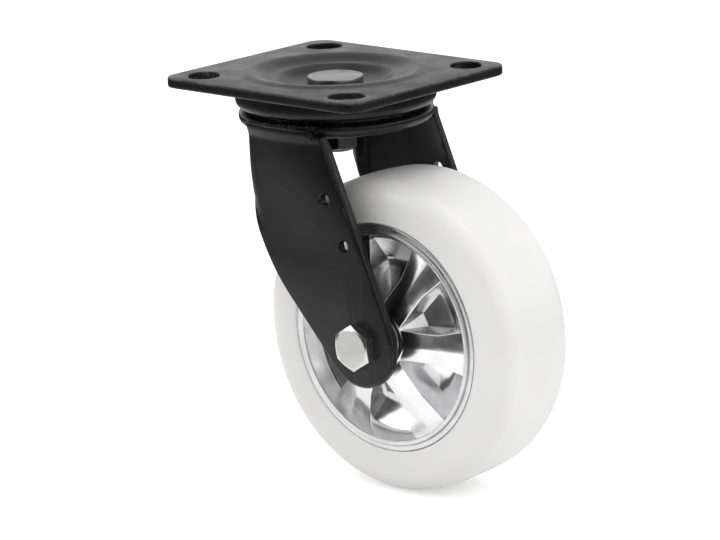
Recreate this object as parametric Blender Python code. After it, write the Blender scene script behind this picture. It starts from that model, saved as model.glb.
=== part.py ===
"""Industrial swivel castor: top plate, double ball-race swivel head, welded fork, aluminium-cored wheel.

Metres, +Z up. The origin is on the swivel axis, in the plane of the top plate's upper face, so the
castor hangs below it. The wheel trails along +X and its axle lies along Y; the bolt head faces -Y.
"""
import math

import bmesh
import bpy
from mathutils import Matrix, Vector

# Clearance between pieces that touch on the real castor
SEAT_GAP = 0.0003
# How far a cutter runs past the faces that it cuts
OVERRUN = 0.002
# Points closer than this are one point
MERGE_DISTANCE = 0.000001

# Wheel and its place under the swivel head
WHEEL_DIAMETER = 0.160
TREAD_WIDTH = 0.052
WHEEL_TO_NUT = 0.0047
TRAIL = 0.049

# Top plate
PLATE_LENGTH = 0.128
PLATE_WIDTH = 0.120
PLATE_THICKNESS = 0.005
PLATE_CORNER_RADIUS = 0.010
BOLT_EDGE_X = 0.0165
BOLT_EDGE_Y = 0.015
BOLT_SLOT_WIDTH = 0.0155
BOLT_SLOT_TRAVEL = 0.003

# Kingpin, its spacer, the lower race and the nut
KINGPIN_HEAD_RADIUS = 0.0140
KINGPIN_HEAD_HEIGHT = 0.00325
KINGPIN_HEAD_ROUND = 0.0005
KINGPIN_DIAMETER = 0.014
KINGPIN_THREAD_DIAMETER = 0.012
SPACER_WALL = 0.0027
LOWER_RACE_LAND = 0.0025
LOWER_RACE_THICKNESS = 0.0046
LOWER_RACE_HUB_WALL = 0.0062
LOWER_RACE_HUB_LENGTH = 0.0055
KINGPIN_NUT_FLATS = 0.019
KINGPIN_NUT_HEIGHT = 0.011

# Swivel head, from the plate down
RACE_RING_HEIGHT = 0.0111
RACE_RING_OUTER_LAND = 0.008
RACE_RING_INNER_LAND = 0.003
RACE_RING_WALL = 0.004
RACE_RING_CORNER = 0.004
RACE_ARCH_ANGLE = math.radians(35)
RACE_SPLIT = 0.0016
BALL_CLEARANCE = 0.0003
CAGE_THICKNESS = 0.0008
CAGE_MARGIN = 0.0012
UPPER_BALL_DIAMETER = 0.008
UPPER_BALL_COUNT = 16
LOWER_BALL_DIAMETER = 0.006
LOWER_BALL_COUNT = 12
LOWER_PITCH_TO_BORE = 0.0085
BALL_ROW_STEP = 0.0185
CROWN_INSET = 0.0015
CROWN_HEIGHT = 0.0068
CROWN_LIP_RISE = 0.0006
CROWN_EDGE_ROUND = 0.0024
CROWN_BOSS_GAP = 0.0013
CROWN_BOSS_CLEARANCE = 0.002
CROWN_BORE_CLEARANCE = 0.0015
CROWN_WEB = 0.005

# Pressed centre of the top plate, its rings measured inwards from the race ring's outer wall
BORDER_INSET = 0.0015
CREST_INSET = 0.0077
CREST_RISE = 0.0011
SHOULDER_INSET = 0.0195
SHOULDER_DROP = 0.0022
RECESS_CLEARANCE = 0.0085
RECESS_DROP = 0.006

# Fork legs
LEG_THICKNESS = 0.005
LEG_END_RADIUS = 0.0215
LEG_FRONT_TOP = 0.0275
LEG_REAR = 0.0225
LEG_BULGE = 0.0042
LEG_EDGE_CHAMFER = 0.0014
# Rear edge: where it starts to curve and how wide the curve is, as shares of the leg's drop to the axle
LEG_REAR_STRAIGHT_SHARE = 0.15
LEG_REAR_RADIUS_SHARE = 0.985
# How far down the leg its bulge fades out, as a share of the same drop
LEG_BULGE_SHARE = 0.62
BRAKE_HOLE_DIAMETER = 0.006
BRAKE_HOLE_INSET = 0.0088
BRAKE_HOLE_UPPER = 0.0274
BRAKE_HOLE_LOWER = 0.0518

# Axle, and the tube and collars that it clamps between the legs
AXLE_DIAMETER = 0.012
AXLE_HEAD_FLATS = 0.021
AXLE_HEAD_HEIGHT = 0.007
AXLE_HEAD_TURN = math.radians(3)
AXLE_NUT_FLATS = 0.019
AXLE_NUT_HEIGHT = 0.0108
AXLE_NUT_COLLAR_INSET = 0.0013
AXLE_NUT_COLLAR_HEIGHT = 0.0025
AXLE_END_PROUD = 0.003
AXLE_WASHER_RADIUS = 0.012
AXLE_WASHER_THICKNESS = 0.0025
AXLE_TUBE_WALL = 0.0012
COLLAR_WALL = 0.0032
COLLAR_LENGTH = 0.009
THREAD_CHAMFER = 0.0012
# Chamfer of a hexagon: its circle on the face as a share of the flats, and its rise over its run
HEX_FACE_SHARE = 0.97
HEX_RISE_SHARE = 0.92

# Wheel core: hub, a tapered prism with a flat between each two spokes, deep from its end face
HUB_LENGTH = 0.060
HUB_WALL = 0.0018
HUB_CHAMFER = 0.0010
HUB_NECK = 0.0065
HUB_NECK_FLARE = 0.0022
HUB_FOOT = 0.0145
HUB_FOOT_FLARE = 0.0068

# Wheel core: rim, measured from the tread's seat and sides, and web
RIM_SEAT_RADIUS = 0.0566
RIM_FLANGE_HEIGHT = 0.0010
RIM_FLANGE_INSET = 0.0004
RIM_FLANGE_THICKNESS = 0.0032
RIM_LIP_STEP = 0.0022
RIM_LIP_WIDTH = 0.0022
RIM_LIP_PROUD = 0.0008
RIM_BARREL_WALL = 0.0070
RIM_BARREL_FOOT = 0.0085
WEB_HALF = 0.0095
WEB_HUB_RISE = 0.0100
# Deepest ring of the web, as a share of the way from the hub to the rim
WEB_RADIUS_SHARE = 0.59

# Wheel core: spokes
SPOKE_COUNT = 6
SPOKE_TURN = math.radians(-2.5)
SPOKE_RIDGE_PROUD = 0.0005
SPOKE_RIDGE_RIM_DEPTH = 0.0066
SPOKE_EDGE_DEPTH = 0.0042
SPOKE_HALF_WIDTH = 0.0068
SPOKE_GUSSET_HALF_WIDTH = 0.0115
SPOKE_DRAFT = 0.0012
# Where a spoke starts to flare, as a share of its length
SPOKE_GUSSET_SHARE = 0.60

# Shoulder of the tread: shares of its half width, and of its depth below the crown
TREAD_SHOULDER_SHARES = ((0.40, 0.014), (0.60, 0.033), (0.80, 0.093), (0.915, 0.20), (0.98, 0.335), (1.0, 0.48))

# Wheel bearings
BEARING_OUTER_DIAMETER = 0.028
BEARING_WIDTH = 0.007
BEARING_RECESS = 0.0005
BEARING_BALL_COUNT = 8
# Balls, ring shoulders and cage as shares of the section between bore and outside, and of the width
BEARING_BALL_SHARE = 0.645
BEARING_SHOULDER_SHARE = 0.235
BEARING_CAGE_SHARE = 0.2
SEAL_THICKNESS = 0.0008
SEAL_RADIAL_GAP = 0.0004

# Number of flats that stand for a full circle
PLATE_ARC_STEPS = 4
PLATE_SIDE_STEPS = 7
RING_STEPS = 36
WHEEL_STEPS = 45
SMALL_STEPS = 20
ARC_STEPS = 3
ROUND_STEPS = 2
EASE_STEPS = 2
BALL_SEGMENTS = 6
BALL_RINGS = 4
LEG_ARC_STEPS = 14
LEG_REAR_STEPS = 8
LEG_BULGE_STEPS = 8
LEG_DROP_STEPS = 4
HOLE_STEPS = 16
SMOOTH_ANGLE = math.radians(35)

# Radii about the swivel axis that follow from the sizes above
KINGPIN_BORE = KINGPIN_DIAMETER / 2 + SEAT_GAP
SPACER_RADIUS = KINGPIN_BORE + SPACER_WALL
CROWN_BORE_RADIUS = SPACER_RADIUS + CROWN_BORE_CLEARANCE
LOWER_BALL_PITCH_RADIUS = CROWN_BORE_RADIUS + LOWER_PITCH_TO_BORE
UPPER_BALL_PITCH_RADIUS = LOWER_BALL_PITCH_RADIUS + BALL_ROW_STEP
RACE_RING_RADIUS = UPPER_BALL_PITCH_RADIUS + UPPER_BALL_DIAMETER / 2 + RACE_RING_OUTER_LAND
RACE_RING_BORE_RADIUS = UPPER_BALL_PITCH_RADIUS - UPPER_BALL_DIAMETER / 2 - RACE_RING_INNER_LAND
CROWN_BOSS_RADIUS = RACE_RING_BORE_RADIUS - CROWN_BOSS_CLEARANCE
CROWN_RADIUS = RACE_RING_RADIUS - CROWN_INSET
LOWER_RACE_RADIUS = LOWER_BALL_PITCH_RADIUS + LOWER_BALL_DIAMETER / 2 + LOWER_RACE_LAND
LOWER_RACE_HUB_RADIUS = KINGPIN_BORE + LOWER_RACE_HUB_WALL
BORDER_RADIUS = RACE_RING_RADIUS - BORDER_INSET
CREST_RADIUS = RACE_RING_RADIUS - CREST_INSET
SHOULDER_RADIUS = RACE_RING_RADIUS - SHOULDER_INSET
RECESS_RADIUS = KINGPIN_HEAD_RADIUS + RECESS_CLEARANCE

# Heights of the swivel head, which stand below the plate's upper face
KINGPIN_HEAD_TOP = SEAT_GAP + KINGPIN_HEAD_HEIGHT - RECESS_DROP
RACE_RING_FOOT = -PLATE_THICKNESS - SEAT_GAP - RACE_RING_HEIGHT
CROWN_TOP = RACE_RING_FOOT - RACE_SPLIT
CROWN_FOOT = CROWN_TOP - CROWN_HEIGHT
CROWN_BOSS_TOP = -RECESS_DROP - PLATE_THICKNESS - CROWN_BOSS_GAP
CROWN_BOSS_UNDERSIDE = CROWN_BOSS_TOP - CROWN_WEB
UPPER_BALL_HEIGHT = (RACE_RING_FOOT + CROWN_TOP) / 2
LOWER_BALL_HEIGHT = CROWN_BOSS_UNDERSIDE - RACE_SPLIT / 2
LOWER_RACE_TOP = CROWN_BOSS_UNDERSIDE - RACE_SPLIT
LOWER_RACE_FOOT = LOWER_RACE_TOP - LOWER_RACE_THICKNESS
LOWER_RACE_HUB_FOOT = LOWER_RACE_FOOT - LOWER_RACE_HUB_LENGTH
KINGPIN_NUT_TOP = LOWER_RACE_HUB_FOOT - SEAT_GAP
KINGPIN_NUT_FOOT = KINGPIN_NUT_TOP - KINGPIN_NUT_HEIGHT

# Axle under the swivel head, and the fork's width over the hub and its collars
AXLE_HEIGHT = KINGPIN_NUT_FOOT - WHEEL_TO_NUT - WHEEL_DIAMETER / 2
AXLE_POINT = Vector((TRAIL, 0, AXLE_HEIGHT))
LEG_INNER_FACE = HUB_LENGTH / 2 + COLLAR_LENGTH
LEG_OUTER_FACE = LEG_INNER_FACE + LEG_THICKNESS
LEG_TOP = CROWN_FOOT - SEAT_GAP
LEG_DROP = LEG_TOP - AXLE_HEIGHT

# Radii about the axle
AXLE_BORE = AXLE_DIAMETER / 2 + SEAT_GAP
AXLE_TUBE_RADIUS = AXLE_BORE + AXLE_TUBE_WALL
RING_BORE = AXLE_TUBE_RADIUS + SEAT_GAP
COLLAR_RADIUS = RING_BORE + COLLAR_WALL
AXLE_NUT_COLLAR_RADIUS = AXLE_NUT_FLATS / 2 - AXLE_NUT_COLLAR_INSET
BEARING_RADIUS = BEARING_OUTER_DIAMETER / 2
BEARING_SECTION = BEARING_RADIUS - RING_BORE
BEARING_PITCH_RADIUS = (BEARING_RADIUS + RING_BORE) / 2
BEARING_BALL_DIAMETER = BEARING_SECTION * BEARING_BALL_SHARE
BEARING_INNER_RADIUS = BEARING_PITCH_RADIUS - BEARING_SECTION * BEARING_SHOULDER_SHARE
BEARING_OUTER_RADIUS = BEARING_PITCH_RADIUS + BEARING_SECTION * BEARING_SHOULDER_SHARE
BEARING_MIDDLE = HUB_LENGTH / 2 - BEARING_RECESS - BEARING_WIDTH / 2

# Wheel core: radii about the axle and distances from the wheel's middle plane
HUB_RADIUS = BEARING_RADIUS + HUB_WALL
HUB_CORNER_SHARE = 1 / math.cos(math.pi / SPOKE_COUNT)
RIM_FLANGE_RADIUS = RIM_SEAT_RADIUS + RIM_FLANGE_HEIGHT
RIM_FLANGE_HALF = TREAD_WIDTH / 2 - RIM_FLANGE_INSET
RIM_LIP_OUTER_RADIUS = RIM_SEAT_RADIUS - RIM_LIP_STEP
RIM_LIP_INNER_RADIUS = RIM_LIP_OUTER_RADIUS - RIM_LIP_WIDTH
RIM_LIP_HALF = TREAD_WIDTH / 2 + RIM_LIP_PROUD
RIM_BARREL_RADIUS = RIM_SEAT_RADIUS - RIM_BARREL_WALL
RIM_BARREL_FOOT_HALF = TREAD_WIDTH / 2 - RIM_BARREL_FOOT
WEB_RADIUS = HUB_RADIUS + (RIM_BARREL_RADIUS - HUB_RADIUS) * WEB_RADIUS_SHARE
SPOKE_RIDGE_HUB_HALF = HUB_LENGTH / 2 + SPOKE_RIDGE_PROUD
SPOKE_RIDGE_RIM_HALF = TREAD_WIDTH / 2 - SPOKE_RIDGE_RIM_DEPTH

FULL_TURN = 2 * math.pi


def clear_scene():
    """Remove every object, so that only the castor is left."""
    for thing in list(bpy.data.objects):
        bpy.data.objects.remove(thing, do_unlink=True)


def finish_material(name, colour, roughness, metallic):
    """A plain finish for one sub-part."""
    material = bpy.data.materials.new(name)
    material.use_nodes = True
    shader = material.node_tree.nodes["Principled BSDF"]
    shader.inputs["Base Color"].default_value = (*colour, 1)
    shader.inputs["Roughness"].default_value = roughness
    shader.inputs["Metallic"].default_value = metallic
    material.diffuse_color = (*colour, 1)
    return material


def black_coat(name):
    """Semi-gloss black coating."""
    return finish_material(name, (0.020, 0.020, 0.021), 0.32, 0.0)


def bright_zinc(name):
    """Bright plated steel."""
    return finish_material(name, (0.62, 0.62, 0.60), 0.28, 1.0)


def bearing_steel(name):
    """Ground bearing steel."""
    return finish_material(name, (0.55, 0.55, 0.55), 0.18, 1.0)


def cast_aluminium(name):
    """Polished cast aluminium."""
    return finish_material(name, (0.78, 0.78, 0.79), 0.15, 1.0)


def white_nylon(name):
    """Warm white nylon."""
    return finish_material(name, (0.86, 0.85, 0.82), 0.38, 0.0)


def dark_rubber(name):
    """Black seal rubber."""
    return finish_material(name, (0.03, 0.03, 0.03), 0.6, 0.0)


def new_object(name, mesh_data, material, parent=None, smooth=True):
    """Turn a bmesh in world coordinates into a named object, its origin on its parent's axis."""
    bmesh.ops.remove_doubles(mesh_data, verts=mesh_data.verts, dist=MERGE_DISTANCE)
    bmesh.ops.recalc_face_normals(mesh_data, faces=mesh_data.faces)
    if parent:
        bmesh.ops.translate(mesh_data, verts=mesh_data.verts, vec=-parent.location)
    mesh = bpy.data.meshes.new(name)
    mesh_data.to_mesh(mesh)
    mesh_data.free()
    if smooth:
        mesh.shade_smooth()
        mesh.set_sharp_from_angle(angle=SMOOTH_ANGLE)
    mesh.materials.append(material)
    thing = bpy.data.objects.new(name, mesh)
    bpy.context.scene.collection.objects.link(thing)
    thing.parent = parent
    return thing


def axis_empty(name, place):
    """An empty on a joint's axis, which carries the pieces that turn there."""
    empty = bpy.data.objects.new(name, None)
    empty.location = place
    bpy.context.scene.collection.objects.link(empty)
    return empty


def boolean(thing, cutter, operation):
    """Cut or join a hidden helper object into a piece."""
    cutter.hide_render = True
    cutter.display_type = "WIRE"
    modifier = thing.modifiers.new(cutter.name, "BOOLEAN")
    modifier.object = cutter
    modifier.operation = operation
    modifier.solver = "EXACT"


def arc_points(centre, radius, start, end, steps):
    """Points on an arc in a flat profile, angles in radians."""
    points = []
    for step in range(steps + 1):
        angle = start + (end - start) * step / steps
        points.append((centre[0] + radius * math.cos(angle), centre[1] + radius * math.sin(angle)))
    return points


def turn_profile(profile, steps, along="Z", centre=(0, 0, 0), closed=True):
    """Spin a profile of (radius, height) points about the Z or Y axis through a centre."""
    mesh_data = bmesh.new()
    centre = Vector(centre)
    axis = Vector((0, 0, 1)) if along == "Z" else Vector((0, 1, 0))
    verts = []
    for radius, height in profile:
        verts.append(mesh_data.verts.new(centre + Vector((radius, 0, 0)) + axis * height))
    edges = []
    for first, second in zip(verts, verts[1:]):
        edges.append(mesh_data.edges.new((first, second)))
    if closed:
        edges.append(mesh_data.edges.new((verts[-1], verts[0])))
    bmesh.ops.spin(mesh_data, geom=verts + edges, cent=centre, axis=axis, angle=FULL_TURN,
                   steps=steps, use_merge=True, use_duplicate=False)
    return mesh_data


def extruded_outline(points, place, move):
    """A prism: a flat outline, put in space by place(point), extruded by a vector."""
    mesh_data = bmesh.new()
    verts = [mesh_data.verts.new(place(point)) for point in points]
    face = mesh_data.faces.new(verts)
    grown = bmesh.ops.extrude_face_region(mesh_data, geom=[face])
    moved = [item for item in grown["geom"] if isinstance(item, bmesh.types.BMVert)]
    bmesh.ops.translate(mesh_data, verts=moved, vec=move)
    return mesh_data


def add_ball(mesh_data, place, diameter, axis):
    """One ball, its poles along the axis of its row."""
    turn = Matrix.Identity(4) if axis == "Z" else Matrix.Rotation(math.pi / 2, 4, "X")
    bmesh.ops.create_uvsphere(mesh_data, u_segments=BALL_SEGMENTS, v_segments=BALL_RINGS,
                              radius=diameter / 2, matrix=Matrix.Translation(place) @ turn)


def ball_row(name, count, diameter, pitch_radius, height, material, parent, axis, cage):
    """A row of balls held in one cage ring: cage is its inner radius, outer radius and half height."""
    inner, outer, half = cage
    centre = parent.location
    ring_profile = [(outer, height + half), (outer, height - half), (inner, height - half),
                    (inner, height + half)]
    row = new_object(name, turn_profile(ring_profile, SMALL_STEPS, axis, centre), material, parent)
    balls = bmesh.new()
    for index in range(count):
        angle = FULL_TURN * index / count
        across = pitch_radius * math.sin(angle)
        place = Vector((pitch_radius * math.cos(angle), across, height))
        if axis == "Y":
            place = Vector((pitch_radius * math.cos(angle), height, across))
        add_ball(balls, centre + place, diameter, axis)
    helper = new_object(name + "_helper", balls, material, parent)
    boolean(row, helper, "UNION")
    return row


def eased(first, second, share):
    """A smooth step from one value to another."""
    return first + (second - first) * (1 - math.cos(math.pi * share)) / 2


def plate_stations():
    """Radius and height of the pressed centre, from the flat border inwards."""
    turns = [(BORDER_RADIUS, 0), (CREST_RADIUS, CREST_RISE), (SHOULDER_RADIUS, -SHOULDER_DROP),
             (RECESS_RADIUS, -RECESS_DROP)]
    stations = []
    for (radius, height), (next_radius, next_height) in zip(turns, turns[1:]):
        for step in range(EASE_STEPS):
            share = step / EASE_STEPS
            stations.append((radius + (next_radius - radius) * share, eased(height, next_height, share)))
    stations.append(turns[-1])
    stations.append((KINGPIN_BORE, -RECESS_DROP))
    return stations


def plate_outline():
    """Rounded rectangle of the top plate, each side with points enough for the round centre."""
    half_x = PLATE_LENGTH / 2
    half_y = PLATE_WIDTH / 2
    points = []
    for corner in range(4):
        sign_x = (1, -1, -1, 1)[corner]
        sign_y = (1, 1, -1, -1)[corner]
        centre = (sign_x * (half_x - PLATE_CORNER_RADIUS), sign_y * (half_y - PLATE_CORNER_RADIUS))
        start = corner * math.pi / 2
        points += arc_points(centre, PLATE_CORNER_RADIUS, start, start + math.pi / 2, PLATE_ARC_STEPS)
        next_x = (-1, -1, 1, 1)[corner]
        next_y = (1, -1, -1, 1)[corner]
        ends = points[-1]
        goal_centre = (next_x * (half_x - PLATE_CORNER_RADIUS), next_y * (half_y - PLATE_CORNER_RADIUS))
        goal_angle = (corner + 1) * math.pi / 2
        goal = (goal_centre[0] + PLATE_CORNER_RADIUS * math.cos(goal_angle),
                goal_centre[1] + PLATE_CORNER_RADIUS * math.sin(goal_angle))
        for step in range(1, PLATE_SIDE_STEPS):
            share = step / PLATE_SIDE_STEPS
            points.append((ends[0] + (goal[0] - ends[0]) * share, ends[1] + (goal[1] - ends[1]) * share))
    return points


def make_top_plate(material):
    """Flat rounded plate whose centre is pressed in rings; four slots stand across the diagonals."""
    outline = plate_outline()
    angles = [math.atan2(y, x) for x, y in outline]
    stations = plate_stations()

    def circle(radius):
        return [(radius * math.cos(angle), radius * math.sin(angle)) for angle in angles]

    loops = [(circle(radius), height) for radius, height in stations]
    loops += [(circle(radius), height - PLATE_THICKNESS) for radius, height in reversed(stations)]
    loops += [(outline, -PLATE_THICKNESS), (outline, 0)]
    mesh_data = bmesh.new()
    verts = [mesh_data.verts.new((x, y, 0)) for x, y in outline]
    edges = [mesh_data.edges.new(pair) for pair in zip(verts, verts[1:] + verts[:1])]
    for points, height in loops:
        grown = bmesh.ops.extrude_edge_only(mesh_data, edges=edges)["geom"]
        edges = [item for item in grown if isinstance(item, bmesh.types.BMEdge)]
        verts = [item for item in grown if isinstance(item, bmesh.types.BMVert)]
        for vert, (x, y) in zip(verts, points):
            vert.co = (x, y, height)
    plate = new_object("top_plate", mesh_data, material)
    for sign_x in (1, -1):
        for sign_y in (1, -1):
            cut_slot(plate, sign_x, sign_y, material)
    return plate


def cut_slot(plate, sign_x, sign_y, material):
    """One bolt slot, its long way square to the plate's diagonal."""
    centre = Vector((sign_x * (PLATE_LENGTH / 2 - BOLT_EDGE_X), sign_y * (PLATE_WIDTH / 2 - BOLT_EDGE_Y), 0))
    turn = math.atan2(centre.y, centre.x) + math.pi / 2
    radius = BOLT_SLOT_WIDTH / 2
    reach = BOLT_SLOT_TRAVEL / 2
    points = arc_points((reach, 0), radius, -math.pi / 2, math.pi / 2, HOLE_STEPS // 2)
    points += arc_points((-reach, 0), radius, math.pi / 2, 3 * math.pi / 2, HOLE_STEPS // 2)
    spin = Matrix.Rotation(turn, 3, "Z")
    top = Vector((0, 0, OVERRUN))
    cutter = extruded_outline(points, lambda point: centre + top + spin @ Vector((*point, 0)),
                              Vector((0, 0, -PLATE_THICKNESS - 2 * OVERRUN)))
    side_x = "front" if sign_x > 0 else "rear"
    side_y = "left" if sign_y > 0 else "right"
    boolean(plate, new_object(f"slot_cutter_{side_x}_{side_y}", cutter, material), "DIFFERENCE")


def groove(centre_radius, centre_height, radius, face_height, side):
    """Ball groove in a flat race: arc points from the outer edge to the inner edge of the groove.

    side is 1 where the groove is cut upwards into the piece, -1 where it is cut downwards. The flats
    that stand for the arc touch it from outside, so the balls keep their clearance.
    """
    reach = radius / math.cos(math.pi / (2 * ARC_STEPS))
    rise = (face_height - centre_height) * side
    open_angle = math.asin(rise / reach)
    start = open_angle * side
    end = (math.pi - open_angle) * side
    return arc_points((centre_radius, centre_height), reach, start, end, ARC_STEPS)


def make_upper_race_ring(material):
    """Pressed ring welded under the plate, with the upper ball groove arched into its floor."""
    radius = UPPER_BALL_DIAMETER / 2 + BALL_CLEARANCE
    wall_inner = RACE_RING_RADIUS - RACE_RING_WALL
    top = -PLATE_THICKNESS - SEAT_GAP
    corner = (RACE_RING_RADIUS - RACE_RING_CORNER, RACE_RING_FOOT + RACE_RING_CORNER)
    profile = [(wall_inner, top), (RACE_RING_RADIUS, top)]
    profile += arc_points(corner, RACE_RING_CORNER, 0, -math.pi / 2, ROUND_STEPS)
    profile += groove(UPPER_BALL_PITCH_RADIUS, UPPER_BALL_HEIGHT, radius, RACE_RING_FOOT, 1)
    profile.append((RACE_RING_BORE_RADIUS, RACE_RING_FOOT))
    back = radius + RACE_RING_WALL
    arch = arc_points((UPPER_BALL_PITCH_RADIUS, UPPER_BALL_HEIGHT), back,
                      math.pi - RACE_ARCH_ANGLE, RACE_ARCH_ANGLE, ARC_STEPS)
    profile.append((RACE_RING_BORE_RADIUS, arch[0][1]))
    profile += arch
    profile.append((wall_inner, arch[-1][1]))
    return new_object("upper_race_ring", turn_profile(profile, RING_STEPS), material)


def make_crown(material, parent):
    """Swivel crown: rounded rim, upper ball groove, raised boss with the lower groove inside it."""
    upper_radius = UPPER_BALL_DIAMETER / 2 + BALL_CLEARANCE
    lower_radius = LOWER_BALL_DIAMETER / 2 + BALL_CLEARANCE
    rim_inner = CROWN_RADIUS - CROWN_EDGE_ROUND
    profile = [(CROWN_BORE_RADIUS, CROWN_BOSS_TOP), (CROWN_BOSS_RADIUS, CROWN_BOSS_TOP)]
    profile.append((RACE_RING_BORE_RADIUS, CROWN_TOP))
    profile += reversed(groove(UPPER_BALL_PITCH_RADIUS, UPPER_BALL_HEIGHT, upper_radius, CROWN_TOP, -1))
    profile.append((UPPER_BALL_PITCH_RADIUS + upper_radius + CROWN_EDGE_ROUND, CROWN_TOP))
    profile += arc_points((rim_inner, CROWN_TOP + CROWN_LIP_RISE - CROWN_EDGE_ROUND), CROWN_EDGE_ROUND,
                          math.pi / 2, 0, ROUND_STEPS)
    profile += arc_points((rim_inner, CROWN_FOOT + CROWN_EDGE_ROUND), CROWN_EDGE_ROUND,
                          0, -math.pi / 2, ROUND_STEPS)
    profile.append((UPPER_BALL_PITCH_RADIUS - upper_radius, CROWN_FOOT))
    profile.append((CROWN_BOSS_RADIUS, CROWN_TOP - CROWN_WEB))
    profile.append((LOWER_RACE_RADIUS + 2 * CAGE_MARGIN, CROWN_BOSS_UNDERSIDE))
    profile += groove(LOWER_BALL_PITCH_RADIUS, LOWER_BALL_HEIGHT, lower_radius, CROWN_BOSS_UNDERSIDE, 1)
    profile.append((CROWN_BORE_RADIUS, CROWN_BOSS_UNDERSIDE))
    return new_object("fork_crown", turn_profile(profile, RING_STEPS), material, parent)


def make_kingpin(material):
    """Kingpin with a round head in the plate's recess and a threaded end in the nut."""
    head_under = -RECESS_DROP + SEAT_GAP
    shank = KINGPIN_DIAMETER / 2
    thread = KINGPIN_THREAD_DIAMETER / 2
    end = KINGPIN_NUT_FOOT + SEAT_GAP
    profile = [(0, KINGPIN_HEAD_TOP), (KINGPIN_HEAD_RADIUS - KINGPIN_HEAD_ROUND, KINGPIN_HEAD_TOP),
               (KINGPIN_HEAD_RADIUS, KINGPIN_HEAD_TOP - KINGPIN_HEAD_ROUND),
               (KINGPIN_HEAD_RADIUS, head_under), (shank, head_under), (shank, LOWER_RACE_HUB_FOOT),
               (thread, LOWER_RACE_HUB_FOOT),
               (thread, end + THREAD_CHAMFER), (thread - THREAD_CHAMFER, end), (0, end)]
    return new_object("kingpin", turn_profile(profile, SMALL_STEPS, closed=False), material)


def make_kingpin_spacer(material):
    """Sleeve between the plate and the lower race, which sets the clearance of the ball rows."""
    top = -RECESS_DROP - PLATE_THICKNESS - SEAT_GAP
    bottom = LOWER_RACE_TOP + SEAT_GAP
    profile = [(KINGPIN_BORE, top), (SPACER_RADIUS, top), (SPACER_RADIUS, bottom), (KINGPIN_BORE, bottom)]
    return new_object("kingpin_spacer", turn_profile(profile, SMALL_STEPS), material)


def make_lower_race(material):
    """Lower race: a grooved washer with a hub that the nut bears on."""
    radius = LOWER_BALL_DIAMETER / 2 + BALL_CLEARANCE
    profile = [(KINGPIN_BORE, LOWER_RACE_TOP)]
    profile += reversed(groove(LOWER_BALL_PITCH_RADIUS, LOWER_BALL_HEIGHT, radius, LOWER_RACE_TOP, -1))
    profile += [(LOWER_RACE_RADIUS, LOWER_RACE_TOP), (LOWER_RACE_RADIUS, LOWER_RACE_FOOT),
                (LOWER_RACE_HUB_RADIUS, LOWER_RACE_FOOT), (LOWER_RACE_HUB_RADIUS, LOWER_RACE_HUB_FOOT),
                (KINGPIN_BORE, LOWER_RACE_HUB_FOOT)]
    return new_object("lower_race", turn_profile(profile, SMALL_STEPS), material)


def hexagon(name, flats, low, high, axis, centre, turn, bore, chamfers, material, parent=None):
    """A hexagon from low to high along an axis, with chamfered ends and an optional bore.

    chamfers holds 1 or 0 for the low and the high end.
    """
    corner = flats / math.sqrt(3)
    points = [(corner * math.cos(turn + index * math.pi / 3), corner * math.sin(turn + index * math.pi / 3))
              for index in range(6)]
    centre = Vector(centre)
    if axis == "Z":
        start = centre + Vector((0, 0, low))
        prism = extruded_outline(points, lambda point: start + Vector((point[0], point[1], 0)),
                                 Vector((0, 0, high - low)))
    else:
        start = centre + Vector((0, low, 0))
        prism = extruded_outline(points, lambda point: start + Vector((point[0], 0, point[1])),
                                 Vector((0, high - low, 0)))
    piece = new_object(name, prism, material, parent)
    face_radius = flats / 2
    cut = (corner - face_radius) * HEX_RISE_SHARE
    low_radius = face_radius * HEX_FACE_SHARE if chamfers[0] else corner + OVERRUN
    high_radius = face_radius * HEX_FACE_SHARE if chamfers[1] else corner + OVERRUN
    low_step = low + cut if chamfers[0] else low - OVERRUN
    high_step = high - cut if chamfers[1] else high + OVERRUN
    low_end = low if chamfers[0] else low - 2 * OVERRUN
    high_end = high if chamfers[1] else high + 2 * OVERRUN
    wide = corner + SEAT_GAP
    profile = [(bore, high_end), (high_radius, high_end), (wide, high_step), (wide, low_step),
               (low_radius, low_end), (bore, low_end)]
    closed = bore > 0
    body = turn_profile(profile, SMALL_STEPS, axis, centre, closed)
    boolean(piece, new_object(name + "_turned_form", body, material, parent), "INTERSECT")
    return piece


def leg_outline():
    """Side view of a fork leg: straight front edge, bowed rear edge, round end about the axle."""
    end = Vector((TRAIL, AXLE_HEIGHT))
    front_top = Vector((LEG_FRONT_TOP, LEG_TOP))
    reach = end - front_top
    front_heading = math.atan2(reach.y, reach.x) + math.asin(LEG_END_RADIUS / reach.length)
    rear_radius = LEG_DROP * LEG_REAR_RADIUS_SHARE
    rear_centre = Vector((rear_radius - LEG_REAR, LEG_TOP - LEG_DROP * LEG_REAR_STRAIGHT_SHARE))
    between = end - rear_centre
    spread = math.acos((rear_radius - LEG_END_RADIUS) / between.length)
    rear_normal = math.atan2(between.y, between.x) - spread
    points = [tuple(front_top)]
    points += reversed(arc_points(end, LEG_END_RADIUS, rear_normal, front_heading + math.pi / 2, LEG_ARC_STEPS))
    points += reversed(arc_points(rear_centre, rear_radius, -math.pi, rear_normal, LEG_REAR_STEPS))
    points.append((-LEG_REAR, LEG_TOP))
    return points, front_top, front_heading


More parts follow.
